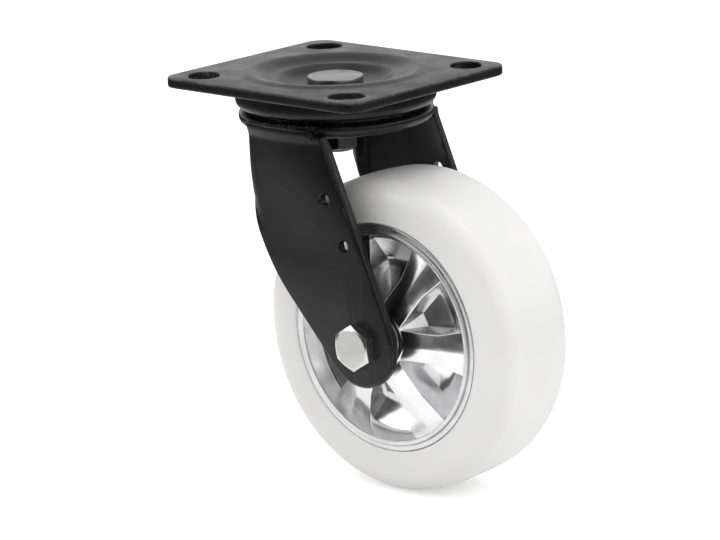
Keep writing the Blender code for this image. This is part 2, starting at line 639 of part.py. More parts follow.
def bow_leg(mesh_data, side, heading):
    """Bow a flat leg outwards at its top, as it follows the crown's rim, and fade the bow downwards."""
    fade = LEG_DROP * LEG_BULGE_SHARE
    lean = -math.cos(heading) / math.sin(heading)
    width = LEG_FRONT_TOP + fade * lean + LEG_REAR
    cuts = [((width * step / LEG_BULGE_STEPS - LEG_REAR, 0, 0), (1, 0, 0)) for step in range(1, LEG_BULGE_STEPS)]
    cuts += [((0, 0, LEG_TOP - fade * step / LEG_DROP_STEPS), (0, 0, 1)) for step in range(1, LEG_DROP_STEPS + 1)]
    for place, facing in cuts:
        geometry = mesh_data.verts[:] + mesh_data.edges[:] + mesh_data.faces[:]
        bmesh.ops.bisect_plane(mesh_data, geom=geometry, dist=MERGE_DISTANCE, plane_co=place, plane_no=facing)
    for vert in mesh_data.verts:
        depth = LEG_TOP - vert.co.z
        front = LEG_FRONT_TOP + depth * lean
        across = (2 * vert.co.x + LEG_REAR - front) / (front + LEG_REAR)
        if depth < fade and abs(across) < 1:
            share = (1 + math.cos(math.pi * depth / fade)) / 2
            vert.co.y += side * LEG_BULGE * (1 - across ** 2) * share
    bmesh.ops.triangulate(mesh_data, faces=mesh_data.faces)


def make_leg(name, side, material, parent):
    """One fork leg, cut from plate, chamfered round its outer face; side is -1 or 1 along Y."""
    points, front_top, heading = leg_outline()
    outer = side * LEG_OUTER_FACE
    mesh_data = extruded_outline(points, lambda point: Vector((point[0], outer, point[1])),
                                 Vector((0, -side * LEG_THICKNESS, 0)))
    rim = []
    for edge in mesh_data.edges:
        on_face = all(abs(vert.co.y - outer) < SEAT_GAP for vert in edge.verts)
        on_top = all(abs(vert.co.z - LEG_TOP) < SEAT_GAP for vert in edge.verts)
        if on_face and not on_top:
            rim.append(edge)
    bmesh.ops.bevel(mesh_data, geom=rim, offset=LEG_EDGE_CHAMFER, segments=1, profile=0.5,
                    affect="EDGES", material=-1)
    bow_leg(mesh_data, side, heading)
    leg = new_object(name, mesh_data, material, parent)
    along = Vector((math.cos(heading), math.sin(heading)))
    inwards = Vector((math.sin(heading), -math.cos(heading)))
    holes = [(AXLE_BORE, Vector((TRAIL, AXLE_HEIGHT)))]
    for distance in (BRAKE_HOLE_UPPER, BRAKE_HOLE_LOWER):
        holes.append((BRAKE_HOLE_DIAMETER / 2, front_top + along * distance + inwards * BRAKE_HOLE_INSET))
    for index, (radius, place) in enumerate(holes):
        circle = arc_points(place, radius, 0, FULL_TURN * (HOLE_STEPS - 1) / HOLE_STEPS, HOLE_STEPS - 1)
        start = outer + side * (LEG_BULGE + OVERRUN)
        cutter = extruded_outline(circle, lambda point: Vector((point[0], start, point[1])),
                                  Vector((0, -side * (LEG_THICKNESS + LEG_BULGE + 2 * OVERRUN), 0)))
        boolean(leg, new_object(f"{name}_cutter_{index}", cutter, material, parent), "DIFFERENCE")
    return leg


def make_axle(material, parent):
    """Axle bolt: chamfered hexagon head against the leg at -Y, plain shank, end beyond the nut."""
    head_under = -LEG_OUTER_FACE - SEAT_GAP
    head_top = head_under - AXLE_HEAD_HEIGHT
    end = LEG_OUTER_FACE + AXLE_WASHER_THICKNESS + AXLE_NUT_HEIGHT + AXLE_NUT_COLLAR_HEIGHT + AXLE_END_PROUD
    radius = AXLE_DIAMETER / 2
    bolt = hexagon("axle_bolt", AXLE_HEAD_FLATS, head_top, head_under, "Y", parent.location,
                   math.pi / 6 + AXLE_HEAD_TURN, 0, (1, 0), material, parent)
    profile = [(0, end), (radius - THREAD_CHAMFER, end), (radius, end - THREAD_CHAMFER),
               (radius, head_under - OVERRUN), (0, head_under - OVERRUN)]
    shank = turn_profile(profile, SMALL_STEPS, "Y", parent.location, closed=False)
    boolean(bolt, new_object("axle_shank_helper", shank, material, parent), "UNION")
    return bolt


def make_axle_nut(material, parent):
    """Locking nut: hexagon with a plain collar round its insert."""
    low = LEG_OUTER_FACE + AXLE_WASHER_THICKNESS + 2 * SEAT_GAP
    high = low + AXLE_NUT_HEIGHT
    nut = hexagon("axle_nut", AXLE_NUT_FLATS, low, high, "Y", parent.location, 0, AXLE_BORE, (1, 1),
                  material, parent)
    profile = [(AXLE_BORE, high - SEAT_GAP), (AXLE_BORE, high + AXLE_NUT_COLLAR_HEIGHT),
               (AXLE_NUT_COLLAR_RADIUS - SEAT_GAP, high + AXLE_NUT_COLLAR_HEIGHT),
               (AXLE_NUT_COLLAR_RADIUS, high + AXLE_NUT_COLLAR_HEIGHT - THREAD_CHAMFER / 2),
               (AXLE_NUT_COLLAR_RADIUS, high - SEAT_GAP)]
    collar = turn_profile(profile, SMALL_STEPS, "Y", parent.location)
    boolean(nut, new_object("axle_nut_collar_helper", collar, material, parent), "UNION")
    return nut


def ring_on_axle(name, inner, outer, low, high, material, parent, steps=SMALL_STEPS):
    """A plain ring round the axle."""
    profile = [(inner, low), (inner, high), (outer, high), (outer, low)]
    return new_object(name, turn_profile(profile, steps, "Y", parent.location), material, parent)


def bearing_ring(name, bore, face, inwards, middle, material, parent):
    """Grooved bearing ring; bore is the plain side's radius and face the grooved side's."""
    half = BEARING_WIDTH / 2
    groove_radius = BEARING_BALL_DIAMETER / 2 + BALL_CLEARANCE
    offset = abs(face - BEARING_PITCH_RADIUS)
    half_groove = math.sqrt(groove_radius ** 2 - offset ** 2)
    deepest = BEARING_PITCH_RADIUS - inwards * groove_radius
    profile = [(bore, middle - half), (bore, middle + half), (face, middle + half),
               (face, middle + half_groove), ((face + 3 * deepest) / 4, middle + half_groove / 2),
               (deepest, middle), ((face + 3 * deepest) / 4, middle - half_groove / 2),
               (face, middle - half_groove), (face, middle - half)]
    return new_object(name, turn_profile(profile, SMALL_STEPS, "Y", parent.location), material, parent)


def mirrored_profile(half):
    """Close a section that starts and ends on the middle plane with its mirror image."""
    return half + [(radius, -height) for radius, height in reversed(half[1:-1])]


def barrel_profile():
    """Section of the turned part of the core, outside its bore: hub, dished web, rim and its lip."""
    hub_top = HUB_LENGTH / 2 - HUB_CHAMFER
    hub_inner = HUB_RADIUS - HUB_CHAMFER
    flange_inner = RIM_FLANGE_HALF - RIM_FLANGE_THICKNESS
    half = [(0, hub_top), (hub_inner, hub_top), (hub_inner, WEB_HALF + WEB_HUB_RISE), (WEB_RADIUS, WEB_HALF),
            (RIM_BARREL_RADIUS, RIM_BARREL_FOOT_HALF), (RIM_LIP_INNER_RADIUS, RIM_LIP_HALF),
            (RIM_LIP_OUTER_RADIUS, RIM_LIP_HALF), (RIM_LIP_OUTER_RADIUS, RIM_FLANGE_HALF),
            (RIM_FLANGE_RADIUS, RIM_FLANGE_HALF - HUB_CHAMFER), (RIM_FLANGE_RADIUS, flange_inner),
            (RIM_SEAT_RADIUS, flange_inner - HUB_CHAMFER)]
    return half + [(radius, -height) for radius, height in reversed(half)]


def hub_prism():
    """Tapered hub with a corner under each spoke, chamfered at both of its end faces."""
    end = HUB_LENGTH / 2
    half = [(0, end), (HUB_RADIUS - HUB_CHAMFER, end), (HUB_RADIUS, end - HUB_CHAMFER),
            (HUB_RADIUS + HUB_NECK_FLARE, end - HUB_NECK), (HUB_RADIUS + HUB_FOOT_FLARE, end - HUB_FOOT)]
    corners = [(radius * HUB_CORNER_SHARE, height) for radius, height in half]
    corners += [(radius, -height) for radius, height in reversed(corners)]
    mesh_data = turn_profile(corners, SPOKE_COUNT, "Y", AXLE_POINT, closed=False)
    bmesh.ops.rotate(mesh_data, verts=mesh_data.verts, cent=AXLE_POINT,
                     matrix=Matrix.Rotation(-SPOKE_TURN, 3, "Y"))
    return mesh_data


def hub_bore():
    """Cutter for the bearing pockets and the shoulder between them."""
    pocket = BEARING_RADIUS + SEAT_GAP
    floor = BEARING_MIDDLE - BEARING_WIDTH / 2 - SEAT_GAP
    end = HUB_LENGTH / 2 + SPOKE_RIDGE_PROUD + OVERRUN
    half = [(0, end), (pocket, end), (pocket, floor), (BEARING_OUTER_RADIUS, floor)]
    profile = half + [(radius, -height) for radius, height in reversed(half)]
    return turn_profile(profile, SMALL_STEPS, "Y", AXLE_POINT, closed=False)


def nearest_vert(verts, along, across):
    """The point of a flat outline that lies at a place along and across a spoke."""
    return min(verts, key=lambda vert: math.hypot(vert.co.x - along, vert.co.z - across))


def spoke_ring():
    """Cast spokes, ridged on both faces of the wheel, drafted, and flared where they meet the rim."""
    inner = (SPOKE_HALF_WIDTH + SPOKE_DRAFT) / math.tan(math.pi / SPOKE_COUNT) + SEAT_GAP
    nose = HUB_RADIUS * HUB_CORNER_SHARE - HUB_CHAMFER
    outer = RIM_LIP_INNER_RADIUS
    gusset = nose + (outer - nose) * SPOKE_GUSSET_SHARE
    fall = (SPOKE_RIDGE_HUB_HALF - SPOKE_RIDGE_RIM_HALF) / (outer - nose)
    outline = [(inner, -SPOKE_HALF_WIDTH), (nose, 0), (inner, SPOKE_HALF_WIDTH), (gusset, SPOKE_HALF_WIDTH),
               (outer, SPOKE_GUSSET_HALF_WIDTH), (outer, 0), (outer, -SPOKE_GUSSET_HALF_WIDTH),
               (gusset, -SPOKE_HALF_WIDTH)]
    mesh_data = extruded_outline(outline, lambda point: Vector((point[0], HUB_LENGTH / 2, point[1])),
                                 Vector((0, -HUB_LENGTH, 0)))
    for face in [face for face in mesh_data.faces if len(face.verts) == len(outline)]:
        verts = face.verts[:]
        rim_end = nearest_vert(verts, outer, 0)
        for start in ((nose, 0), (gusset, SPOKE_HALF_WIDTH), (gusset, -SPOKE_HALF_WIDTH)):
            bmesh.ops.connect_verts(mesh_data, verts=[nearest_vert(verts, *start), rim_end])
    for vert in mesh_data.verts:
        ridge = SPOKE_RIDGE_HUB_HALF - (vert.co.x - nose) * fall
        depth = SPOKE_EDGE_DEPTH if abs(vert.co.z) > SEAT_GAP else 0
        vert.co.y = math.copysign(ridge - depth, vert.co.y)
    geometry = mesh_data.verts[:] + mesh_data.edges[:] + mesh_data.faces[:]
    bmesh.ops.bisect_plane(mesh_data, geom=geometry, dist=MERGE_DISTANCE, plane_co=(0, 0, 0), plane_no=(0, 1, 0))
    for vert in mesh_data.verts:
        if abs(vert.co.y) < SEAT_GAP < abs(vert.co.z):
            vert.co.z += math.copysign(SPOKE_DRAFT, vert.co.z)
    bmesh.ops.rotate(mesh_data, verts=mesh_data.verts, cent=(0, 0, 0),
                     matrix=Matrix.Rotation(-SPOKE_TURN, 3, "Y"))
    bmesh.ops.translate(mesh_data, verts=mesh_data.verts, vec=AXLE_POINT)
    geometry = mesh_data.verts[:] + mesh_data.edges[:] + mesh_data.faces[:]
    copies = SPOKE_COUNT - 1
    bmesh.ops.spin(mesh_data, geom=geometry, cent=AXLE_POINT, axis=(0, 1, 0), steps=copies,
                   angle=FULL_TURN * copies / SPOKE_COUNT, use_duplicate=True)
    return mesh_data


def make_wheel_core(material, parent):
    """Cast wheel core: turned barrel, tapered hub and ridged spokes on both faces, then bored."""
    barrel = turn_profile(barrel_profile(), WHEEL_STEPS, "Y", AXLE_POINT, closed=False)
    core = new_object("wheel_core", barrel, material, parent)
    boolean(core, new_object("hub_helper", hub_prism(), material, parent), "UNION")
    boolean(core, new_object("spoke_helper", spoke_ring(), material, parent), "UNION")
    boolean(core, new_object("hub_bore_cutter", hub_bore(), material, parent), "DIFFERENCE")
    return core


def make_tread(material, parent):
    """Solid nylon tread, crowned, with broad round shoulders, seated on the rim between its flanges."""
    radius = WHEEL_DIAMETER / 2
    half = TREAD_WIDTH / 2
    seat = RIM_SEAT_RADIUS + SEAT_GAP
    flange = RIM_FLANGE_RADIUS + SEAT_GAP
    flange_inner = RIM_FLANGE_HALF - RIM_FLANGE_THICKNESS - SEAT_GAP
    profile = [(seat, 0), (seat, flange_inner - HUB_CHAMFER), (flange, flange_inner),
               (flange, RIM_FLANGE_HALF - HUB_CHAMFER)]
    for width_share, depth_share in reversed(TREAD_SHOULDER_SHARES):
        profile.append((radius - (radius - seat) * depth_share, half * width_share))
    profile.append((radius, 0))
    return new_object("tread", turn_profile(mirrored_profile(profile), WHEEL_STEPS, "Y", parent.location),
                      material, parent)


def make_seal(name, side, material, parent):
    """Seal that sits in the bearing's outer ring and stops short of the inner ring."""
    inner = BEARING_INNER_RADIUS + SEAL_RADIAL_GAP
    outer = BEARING_OUTER_RADIUS - SEAT_GAP
    far = side * (BEARING_MIDDLE + BEARING_WIDTH / 2)
    near = far - side * SEAL_THICKNESS
    return ring_on_axle(name, inner, outer, min(near, far), max(near, far), material, parent)


def build():
    """Make every piece of the castor, each in its own object."""
    clear_scene()
    swivel = axis_empty("swivel_axis", (0, 0, 0))
    upper_axis = axis_empty("upper_ball_axis", (0, 0, 0))
    lower_axis = axis_empty("lower_ball_axis", (0, 0, 0))
    axle = axis_empty("axle_line", AXLE_POINT)
    wheel = axis_empty("wheel_axis", AXLE_POINT)

    make_top_plate(black_coat("plate_coat"))
    make_upper_race_ring(black_coat("race_ring_coat"))
    make_kingpin(bright_zinc("kingpin_steel"))
    make_kingpin_spacer(bright_zinc("spacer_steel"))
    make_lower_race(bearing_steel("lower_race_steel"))
    hexagon("kingpin_nut", KINGPIN_NUT_FLATS, KINGPIN_NUT_FOOT, KINGPIN_NUT_TOP, "Z",
            (0, 0, 0), 0, KINGPIN_THREAD_DIAMETER / 2 + SEAT_GAP, (1, 1), black_coat("nut_coat"))

    upper_cage = (UPPER_BALL_PITCH_RADIUS - UPPER_BALL_DIAMETER / 2 - CAGE_MARGIN,
                  UPPER_BALL_PITCH_RADIUS + UPPER_BALL_DIAMETER / 2 + CAGE_MARGIN, CAGE_THICKNESS / 2)
    ball_row("upper_ball_row", UPPER_BALL_COUNT, UPPER_BALL_DIAMETER, UPPER_BALL_PITCH_RADIUS,
             UPPER_BALL_HEIGHT, bearing_steel("upper_ball_steel"), upper_axis, "Z", upper_cage)
    lower_cage = (LOWER_BALL_PITCH_RADIUS - LOWER_BALL_DIAMETER / 2 - CAGE_MARGIN,
                  LOWER_BALL_PITCH_RADIUS + LOWER_BALL_DIAMETER / 2 + CAGE_MARGIN, CAGE_THICKNESS / 2)
    ball_row("lower_ball_row", LOWER_BALL_COUNT, LOWER_BALL_DIAMETER, LOWER_BALL_PITCH_RADIUS,
             LOWER_BALL_HEIGHT, bearing_steel("lower_ball_steel"), lower_axis, "Z", lower_cage)

    make_crown(black_coat("crown_coat"), swivel)
    make_leg("fork_leg_head_side", -1, black_coat("head_leg_coat"), swivel)
    make_leg("fork_leg_nut_side", 1, black_coat("nut_leg_coat"), swivel)

    make_axle(bright_zinc("axle_steel"), axle)
    ring_on_axle("axle_washer", AXLE_BORE, AXLE_WASHER_RADIUS, LEG_OUTER_FACE + SEAT_GAP,
                 LEG_OUTER_FACE + SEAT_GAP + AXLE_WASHER_THICKNESS, bright_zinc("washer_steel"), axle)
    make_axle_nut(bright_zinc("axle_nut_steel"), axle)
    ring_on_axle("axle_tube", AXLE_BORE, AXLE_TUBE_RADIUS, -LEG_INNER_FACE + SEAT_GAP,
                 LEG_INNER_FACE - SEAT_GAP, bright_zinc("tube_steel"), axle)
    bearing_inside = BEARING_MIDDLE - BEARING_WIDTH / 2
    bearing_outside = BEARING_MIDDLE + BEARING_WIDTH / 2
    ring_on_axle("bearing_spacer", RING_BORE, BEARING_INNER_RADIUS, -bearing_inside + SEAT_GAP,
                 bearing_inside - SEAT_GAP, bright_zinc("bearing_spacer_steel"), axle)
    for side, word in ((-1, "head_side"), (1, "nut_side")):
        middle = side * BEARING_MIDDLE
        near = side * (bearing_outside + SEAT_GAP)
        far = side * (LEG_INNER_FACE - SEAT_GAP)
        ring_on_axle("axle_collar_" + word, RING_BORE, COLLAR_RADIUS, min(near, far), max(near, far),
                     bright_zinc("collar_steel_" + word), axle)
        bearing_ring("bearing_inner_ring_" + word, RING_BORE, BEARING_INNER_RADIUS, 1, middle,
                     bearing_steel("inner_ring_steel_" + word), axle)
        bearing_ring("bearing_outer_ring_" + word, BEARING_RADIUS, BEARING_OUTER_RADIUS, -1, middle,
                     bearing_steel("outer_ring_steel_" + word), wheel)
        cage = (BEARING_INNER_RADIUS + SEAL_RADIAL_GAP, BEARING_OUTER_RADIUS - SEAL_RADIAL_GAP,
                BEARING_WIDTH * BEARING_CAGE_SHARE / 2)
        ball_row("bearing_balls_" + word, BEARING_BALL_COUNT, BEARING_BALL_DIAMETER, BEARING_PITCH_RADIUS,
                 middle, bearing_steel("bearing_ball_steel_" + word), wheel, "Y", cage)
        make_seal("bearing_seal_" + word, side, dark_rubber("seal_rubber_" + word), wheel)

    make_wheel_core(cast_aluminium("core_aluminium"), wheel)
    make_tread(white_nylon("tread_nylon"), wheel)


build()
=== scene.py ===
import math

import bmesh
import bpy
from mathutils import Matrix, Vector


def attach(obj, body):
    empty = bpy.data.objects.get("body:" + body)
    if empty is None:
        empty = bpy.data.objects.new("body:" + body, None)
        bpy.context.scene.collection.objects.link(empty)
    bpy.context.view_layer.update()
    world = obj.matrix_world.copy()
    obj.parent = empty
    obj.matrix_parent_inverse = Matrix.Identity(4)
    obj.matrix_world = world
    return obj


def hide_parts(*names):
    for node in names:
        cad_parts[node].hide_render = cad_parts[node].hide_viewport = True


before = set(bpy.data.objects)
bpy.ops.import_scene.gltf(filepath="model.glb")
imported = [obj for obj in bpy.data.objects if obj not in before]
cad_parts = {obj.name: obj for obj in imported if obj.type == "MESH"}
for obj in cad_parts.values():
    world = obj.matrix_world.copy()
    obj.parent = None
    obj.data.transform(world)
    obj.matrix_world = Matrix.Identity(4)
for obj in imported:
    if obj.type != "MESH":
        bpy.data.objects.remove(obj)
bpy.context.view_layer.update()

AXLE = Vector((0.049, 0, -0.125))
SWIVEL = Vector((0, 0, 0))
FLOOR = -0.205
GAP = 0.0003
MERGE = 0.000001
NEAR = 0.0001

# Top plate and its pressed centre: (radius, height) of each ring's turning point
PLATE_LENGTH = 0.128
PLATE_WIDTH = 0.120
PLATE_THICKNESS = 0.005
PLATE_CORNER = 0.010
PRESSED_RINGS = ((0.049, 0), (0.0428, 0.0011), (0.031, -0.0022), (0.0225, -0.006))
SLOT_CENTRE = (0.0475, 0.045)
SLOT_WIDTH = 0.0155
SLOT_TRAVEL = 0.003

# Swivel head
RACE_RING_RADIUS = 0.0505
RACE_RING_BORE = 0.0315
RACE_RING_FOOT = -0.0164
CROWN_RADIUS = 0.049
CROWN_TOP = -0.018
CROWN_FOOT = -0.0248
CROWN_BOSS_RADIUS = 0.0295
CROWN_BOSS_TOP = -0.0123
CROWN_UNDERSIDE = -0.0173
UPPER_BALLS = (0.0385, -0.0172, 0.008)
LOWER_BALLS = (0.020, -0.0181, 0.006)
BALL_PLAY = 0.0003
LOWER_RACE_TOP = -0.0189
NUT_TOP = -0.0293
NUT_FOOT = -0.0394

# Fork legs
LEG_INNER = 0.039
LEG_OUTER = 0.044
LEG_TOP = -0.0192
LEG_CORNER = Vector((0.0291, -0.0228))
LEG_REAR = 0.0225
LEG_END_RADIUS = 0.0215
LEG_REAR_CENTRE = Vector((0.0759, -0.0401))
LEG_REAR_RADIUS = 0.0984
LEG_BOW = 0.0042
LEG_BOW_TOP = -0.0251
LEG_BOW_FOOT = -0.087
LEG_LAP = 0.0014
LEG_CHAMFER = 0.0014
ROLL_WIDTH = 0.0077
ROLL_RADIUS = 0.005
ROLL_ANGLE = math.radians(80)
ROLL_FOOT = -0.076
ROLL_FULL = -0.044
ROLL_STRETCH = 0.36
LAP_FOOT = -0.0275
LAP_FULL = -0.0215
BRAKE_HOLES = (Vector((0.03075, -0.05369)), Vector((0.04079, -0.07594)))

# Wheel
HUB_HALF = 0.030
HUB_RADIUS = 0.0158
WEB_HALF = 0.0095
TREAD_RADIUS = 0.080
TREAD_HALF = 0.026
TREAD_SHOULDER = 0.0103
TREAD_SHOULDER_CENTRE = 0.06894
TREAD_CROWN = 0.00076
SPOKES = 6
SPOKE_TURN = math.radians(-2.5)
SPOKE_RIDGE_HUB = 0.0305
SPOKE_RIDGE_RIM = 0.0194
SPOKE_HALF_WIDTH = 0.0076
SPOKE_FLARE = 0.0128
SPOKE_FLARE_START = 0.45
SPOKE_EDGE_DROP = 0.0018
SPOKE_RIM_DROP = 0.0004
SPOKE_DRAFT = 0.0012
RIM_INNER = 0.0522
RIM_FACE = 0.0262

# Axle and its two bearings
AXLE_BORE = 0.0063
BEARING_MIDDLE = 0.026
BEARING_HALF = 0.0035
BEARING_PITCH = 0.0109
BEARING_BORE = 0.0078
BEARING_RADIUS = 0.014
INNER_RING_RADIUS = 0.00944
OUTER_RING_BORE = 0.01236
BALL_TRACK = 0.0023
TRACK_CUT = 0.00146

FULL_TURN = 2 * math.pi
ROUND_STEPS = 128
SMALL_STEPS = 72


# ---------------------------------------------------------------- making pieces

def finish_piece(name, mesh_data, finishes, body, nodes=(), sharp=32):
    """Turn a bmesh into a shown piece that rides on a body and stands for its nodes."""
    bmesh.ops.remove_doubles(mesh_data, verts=mesh_data.verts, dist=MERGE)
    bmesh.ops.recalc_face_normals(mesh_data, faces=mesh_data.faces)
    mesh = bpy.data.meshes.new(name)
    mesh_data.to_mesh(mesh)
    mesh_data.free()
    mesh.shade_smooth()
    mesh.set_sharp_from_angle(angle=math.radians(sharp))
    for finish in finishes:
        mesh.materials.append(finish)
    piece = bpy.data.objects.new(name, mesh)
    bpy.context.scene.collection.objects.link(piece)
    if body:
        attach(piece, body)
    if nodes:
        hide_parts(*nodes)
    return piece


def cut(mesh_data, cutters, operation="DIFFERENCE"):
    """Cut or join helper solids into a bmesh with exact booleans, and give the result back."""
    body = finish_piece("blank", mesh_data, (), None)
    helpers = []
    for cutter in cutters:
        helper = finish_piece("cutter", cutter, (), None)
        modifier = body.modifiers.new("cut", "BOOLEAN")
        modifier.object = helper
        modifier.operation = operation
        modifier.solver = "EXACT"
        helpers.append(helper)
    shaped = bpy.data.meshes.new_from_object(body.evaluated_get(bpy.context.evaluated_depsgraph_get()))
    result = bmesh.new()
    result.from_mesh(shaped)
    for thing in helpers + [body]:
        bpy.data.objects.remove(thing, do_unlink=True)
    bpy.data.meshes.remove(shaped)
    return result


def everything(mesh_data):
    """All the geometry of a bmesh."""
    return mesh_data.verts[:] + mesh_data.edges[:] + mesh_data.faces[:]


def soften(mesh_data, radius, segments=2, angle=40, chosen=None):
    """Round the sharp edges and mark them, so that a finish can show them rubbed and lightened as a painted highlight.
    """
    wear_and_highlight = mesh_data.verts.layers.float.get("edge_wear_and_highlight") or mesh_data.verts.layers.float.new("edge_wear_and_highlight")
    edges = []
    for edge in mesh_data.edges:
        if len(edge.link_faces) == 2 and edge.calc_face_angle() > math.radians(angle):
            if chosen is None or chosen(edge):
                edges.append(edge)
    made = bmesh.ops.bevel(mesh_data, geom=edges, offset=radius, segments=segments, profile=0.5,
                           affect="EDGES", material=-1, clamp_overlap=True)
    rounded = set(made["faces"])
    for vert in made["verts"]:
        vert[wear_and_highlight] = 1 if all(face in rounded for face in vert.link_faces) else 0


def turned(profile, steps=SMALL_STEPS, along="Z", centre=SWIVEL, closed=True):
    """Spin a profile of (radius, height, optional corner round) about an axis through a centre."""
    mesh_data = bmesh.new()
    axis = Vector((0, 0, 1)) if along == "Z" else Vector((0, 1, 0))
    verts = [mesh_data.verts.new(centre + Vector((point[0], 0, 0)) + axis * point[1]) for point in profile]
    for first, second in zip(verts, verts[1:]):
        mesh_data.edges.new((first, second))
    if closed:
        mesh_data.edges.new((verts[-1], verts[0]))
    corners = {}
    for vert, point in zip(verts, profile):
        if len(point) > 2:
            corners.setdefault(point[2], []).append(vert)
    for size, group in corners.items():
        bmesh.ops.bevel(mesh_data, geom=group, offset=size, segments=2 if size < 0.0006 else 5, profile=0.5,
                        affect="VERTICES", material=-1)
    bmesh.ops.spin(mesh_data, geom=mesh_data.verts[:] + mesh_data.edges[:], cent=centre, axis=axis,
                   angle=FULL_TURN, steps=steps, use_merge=True, use_duplicate=False)
    bmesh.ops.remove_doubles(mesh_data, verts=mesh_data.verts, dist=MERGE)
    bmesh.ops.recalc_face_normals(mesh_data, faces=mesh_data.faces)
    return mesh_data


def joined(*parts):
    """One bmesh that holds several."""
    whole = parts[0]
    for part in parts[1:]:
        mesh = bpy.data.meshes.new("part")
        part.to_mesh(mesh)
        part.free()
        whole.from_mesh(mesh)
        bpy.data.meshes.remove(mesh)
    return whole


def arc(centre, radius, start, end, steps):
    """Points on an arc of an outline."""
    points = []
    for step in range(steps + 1):
        angle = start + (end - start) * step / steps
        points.append((centre[0] + radius * math.cos(angle), centre[1] + radius * math.sin(angle)))
    return points


def slab(outline, depth):
    """A flat outline of (x, z) points in the plane y = 0, extruded along +Y."""
    mesh_data = bmesh.new()
    face = mesh_data.faces.new([mesh_data.verts.new((x, 0, z)) for x, z in outline])
    grown = bmesh.ops.extrude_face_region(mesh_data, geom=[face])["geom"]
    moved = [item for item in grown if isinstance(item, bmesh.types.BMVert)]
    bmesh.ops.translate(mesh_data, verts=moved, vec=(0, depth, 0))
    bmesh.ops.recalc_face_normals(mesh_data, faces=mesh_data.faces)
    return mesh_data


def mirror_half(half):
    """A section given from its outer end to the middle plane, closed with its mirror image."""
    return half + [(point[0], -point[1], *point[2:]) for point in reversed(half)]


def hole_cutter(radius, low, high, flare, along, centre, steps=48):
    """A round cutter from low to high whose ends flare, so that the hole's edges come out chamfered."""
    over = 0.003
    profile = [(0, high + over), (radius + flare + over, high + over), (radius + flare, high), (radius, high - flare),
               (radius, low + flare), (radius + flare, low), (radius + flare + over, low - over), (0, low - over)]
    return turned(profile, steps, along, centre, closed=False)


# ---------------------------------------------------------------- swivel head

def plate_outline():
    """Rounded rectangle of the top plate as (x, y) points."""
    points = []
    for corner in range(4):
        sign_x = (1, -1, -1, 1)[corner]
        sign_y = (1, 1, -1, -1)[corner]
        centre = (sign_x * (PLATE_LENGTH / 2 - PLATE_CORNER), sign_y * (PLATE_WIDTH / 2 - PLATE_CORNER))
        start = corner * math.pi / 2
        points += arc(centre, PLATE_CORNER, start, start + math.pi / 2, 10)
        goal = ((-1, -1, 1, 1)[corner] * (PLATE_LENGTH / 2 - PLATE_CORNER),
                (1, -1, -1, 1)[corner] * (PLATE_WIDTH / 2 - PLATE_CORNER))
        turn = start + math.pi / 2
        goal = (goal[0] + PLATE_CORNER * math.cos(turn), goal[1] + PLATE_CORNER * math.sin(turn))
        last = points[-1]
        for step in range(1, 22):
            share = step / 22
            points.append((last[0] + (goal[0] - last[0]) * share, last[1] + (goal[1] - last[1]) * share))
    return points


def make_plate(coat):
    """Pressed plate: rounded rectangle, rings pressed into its centre, four slots with broken edges."""
    outline = plate_outline()
    angles = [math.atan2(y, x) for x, y in outline]
    stations = []
    for (radius, height), (next_radius, next_height) in zip(PRESSED_RINGS, PRESSED_RINGS[1:]):
        for step in range(8):
            share = step / 8
            ease = (1 - math.cos(math.pi * share)) / 2
            stations.append((radius + (next_radius - radius) * share, height + (next_height - height) * ease))
    stations += [PRESSED_RINGS[-1], (0.0176, -0.006), (0.0073, -0.006)]
    loops = [([(radius * math.cos(a), radius * math.sin(a)) for a in angles], height) for radius, height in stations]
    loops += [(points, height - PLATE_THICKNESS) for points, height in reversed(loops)]
    loops += [(outline, -PLATE_THICKNESS), (outline, 0)]
    mesh_data = bmesh.new()
    verts = [mesh_data.verts.new((x, y, 0)) for x, y in outline]
    edges = [mesh_data.edges.new(pair) for pair in zip(verts, verts[1:] + verts[:1])]
    for points, height in loops:
        grown = bmesh.ops.extrude_edge_only(mesh_data, edges=edges)["geom"]
        edges = [item for item in grown if isinstance(item, bmesh.types.BMEdge)]
        verts = [item for item in grown if isinstance(item, bmesh.types.BMVert)]
        for vert, (x, y) in zip(verts, points):
            vert.co = (x, y, height)
    bmesh.ops.remove_doubles(mesh_data, verts=mesh_data.verts, dist=MERGE)
    bmesh.ops.recalc_face_normals(mesh_data, faces=mesh_data.faces)
    soften(mesh_data, 0.0009, 3, 60)
    cutters = []
    for sign_x in (1, -1):
        for sign_y in (1, -1):
            slot = hole_cutter(SLOT_WIDTH / 2, -PLATE_THICKNESS, 0, 0.0005, "Z", SWIVEL, 56)
            bmesh.ops.rotate(slot, verts=slot.verts, cent=SWIVEL, matrix=Matrix.Rotation(math.pi / 56, 3, "Z"))
            for vert in slot.verts:
                if abs(vert.co.x) > NEAR:
                    vert.co.x += math.copysign(SLOT_TRAVEL / 2, vert.co.x)
            place = Vector((sign_x * SLOT_CENTRE[0], sign_y * SLOT_CENTRE[1], 0))
            turn = math.atan2(place.y, place.x) + math.pi / 2
            bmesh.ops.rotate(slot, verts=slot.verts, cent=SWIVEL, matrix=Matrix.Rotation(turn, 3, "Z"))
            bmesh.ops.translate(slot, verts=slot.verts, vec=place)
            cutters.append(slot)
    return finish_piece("pressed_top_plate", cut(mesh_data, cutters), [coat], "top", ["top_plate"])


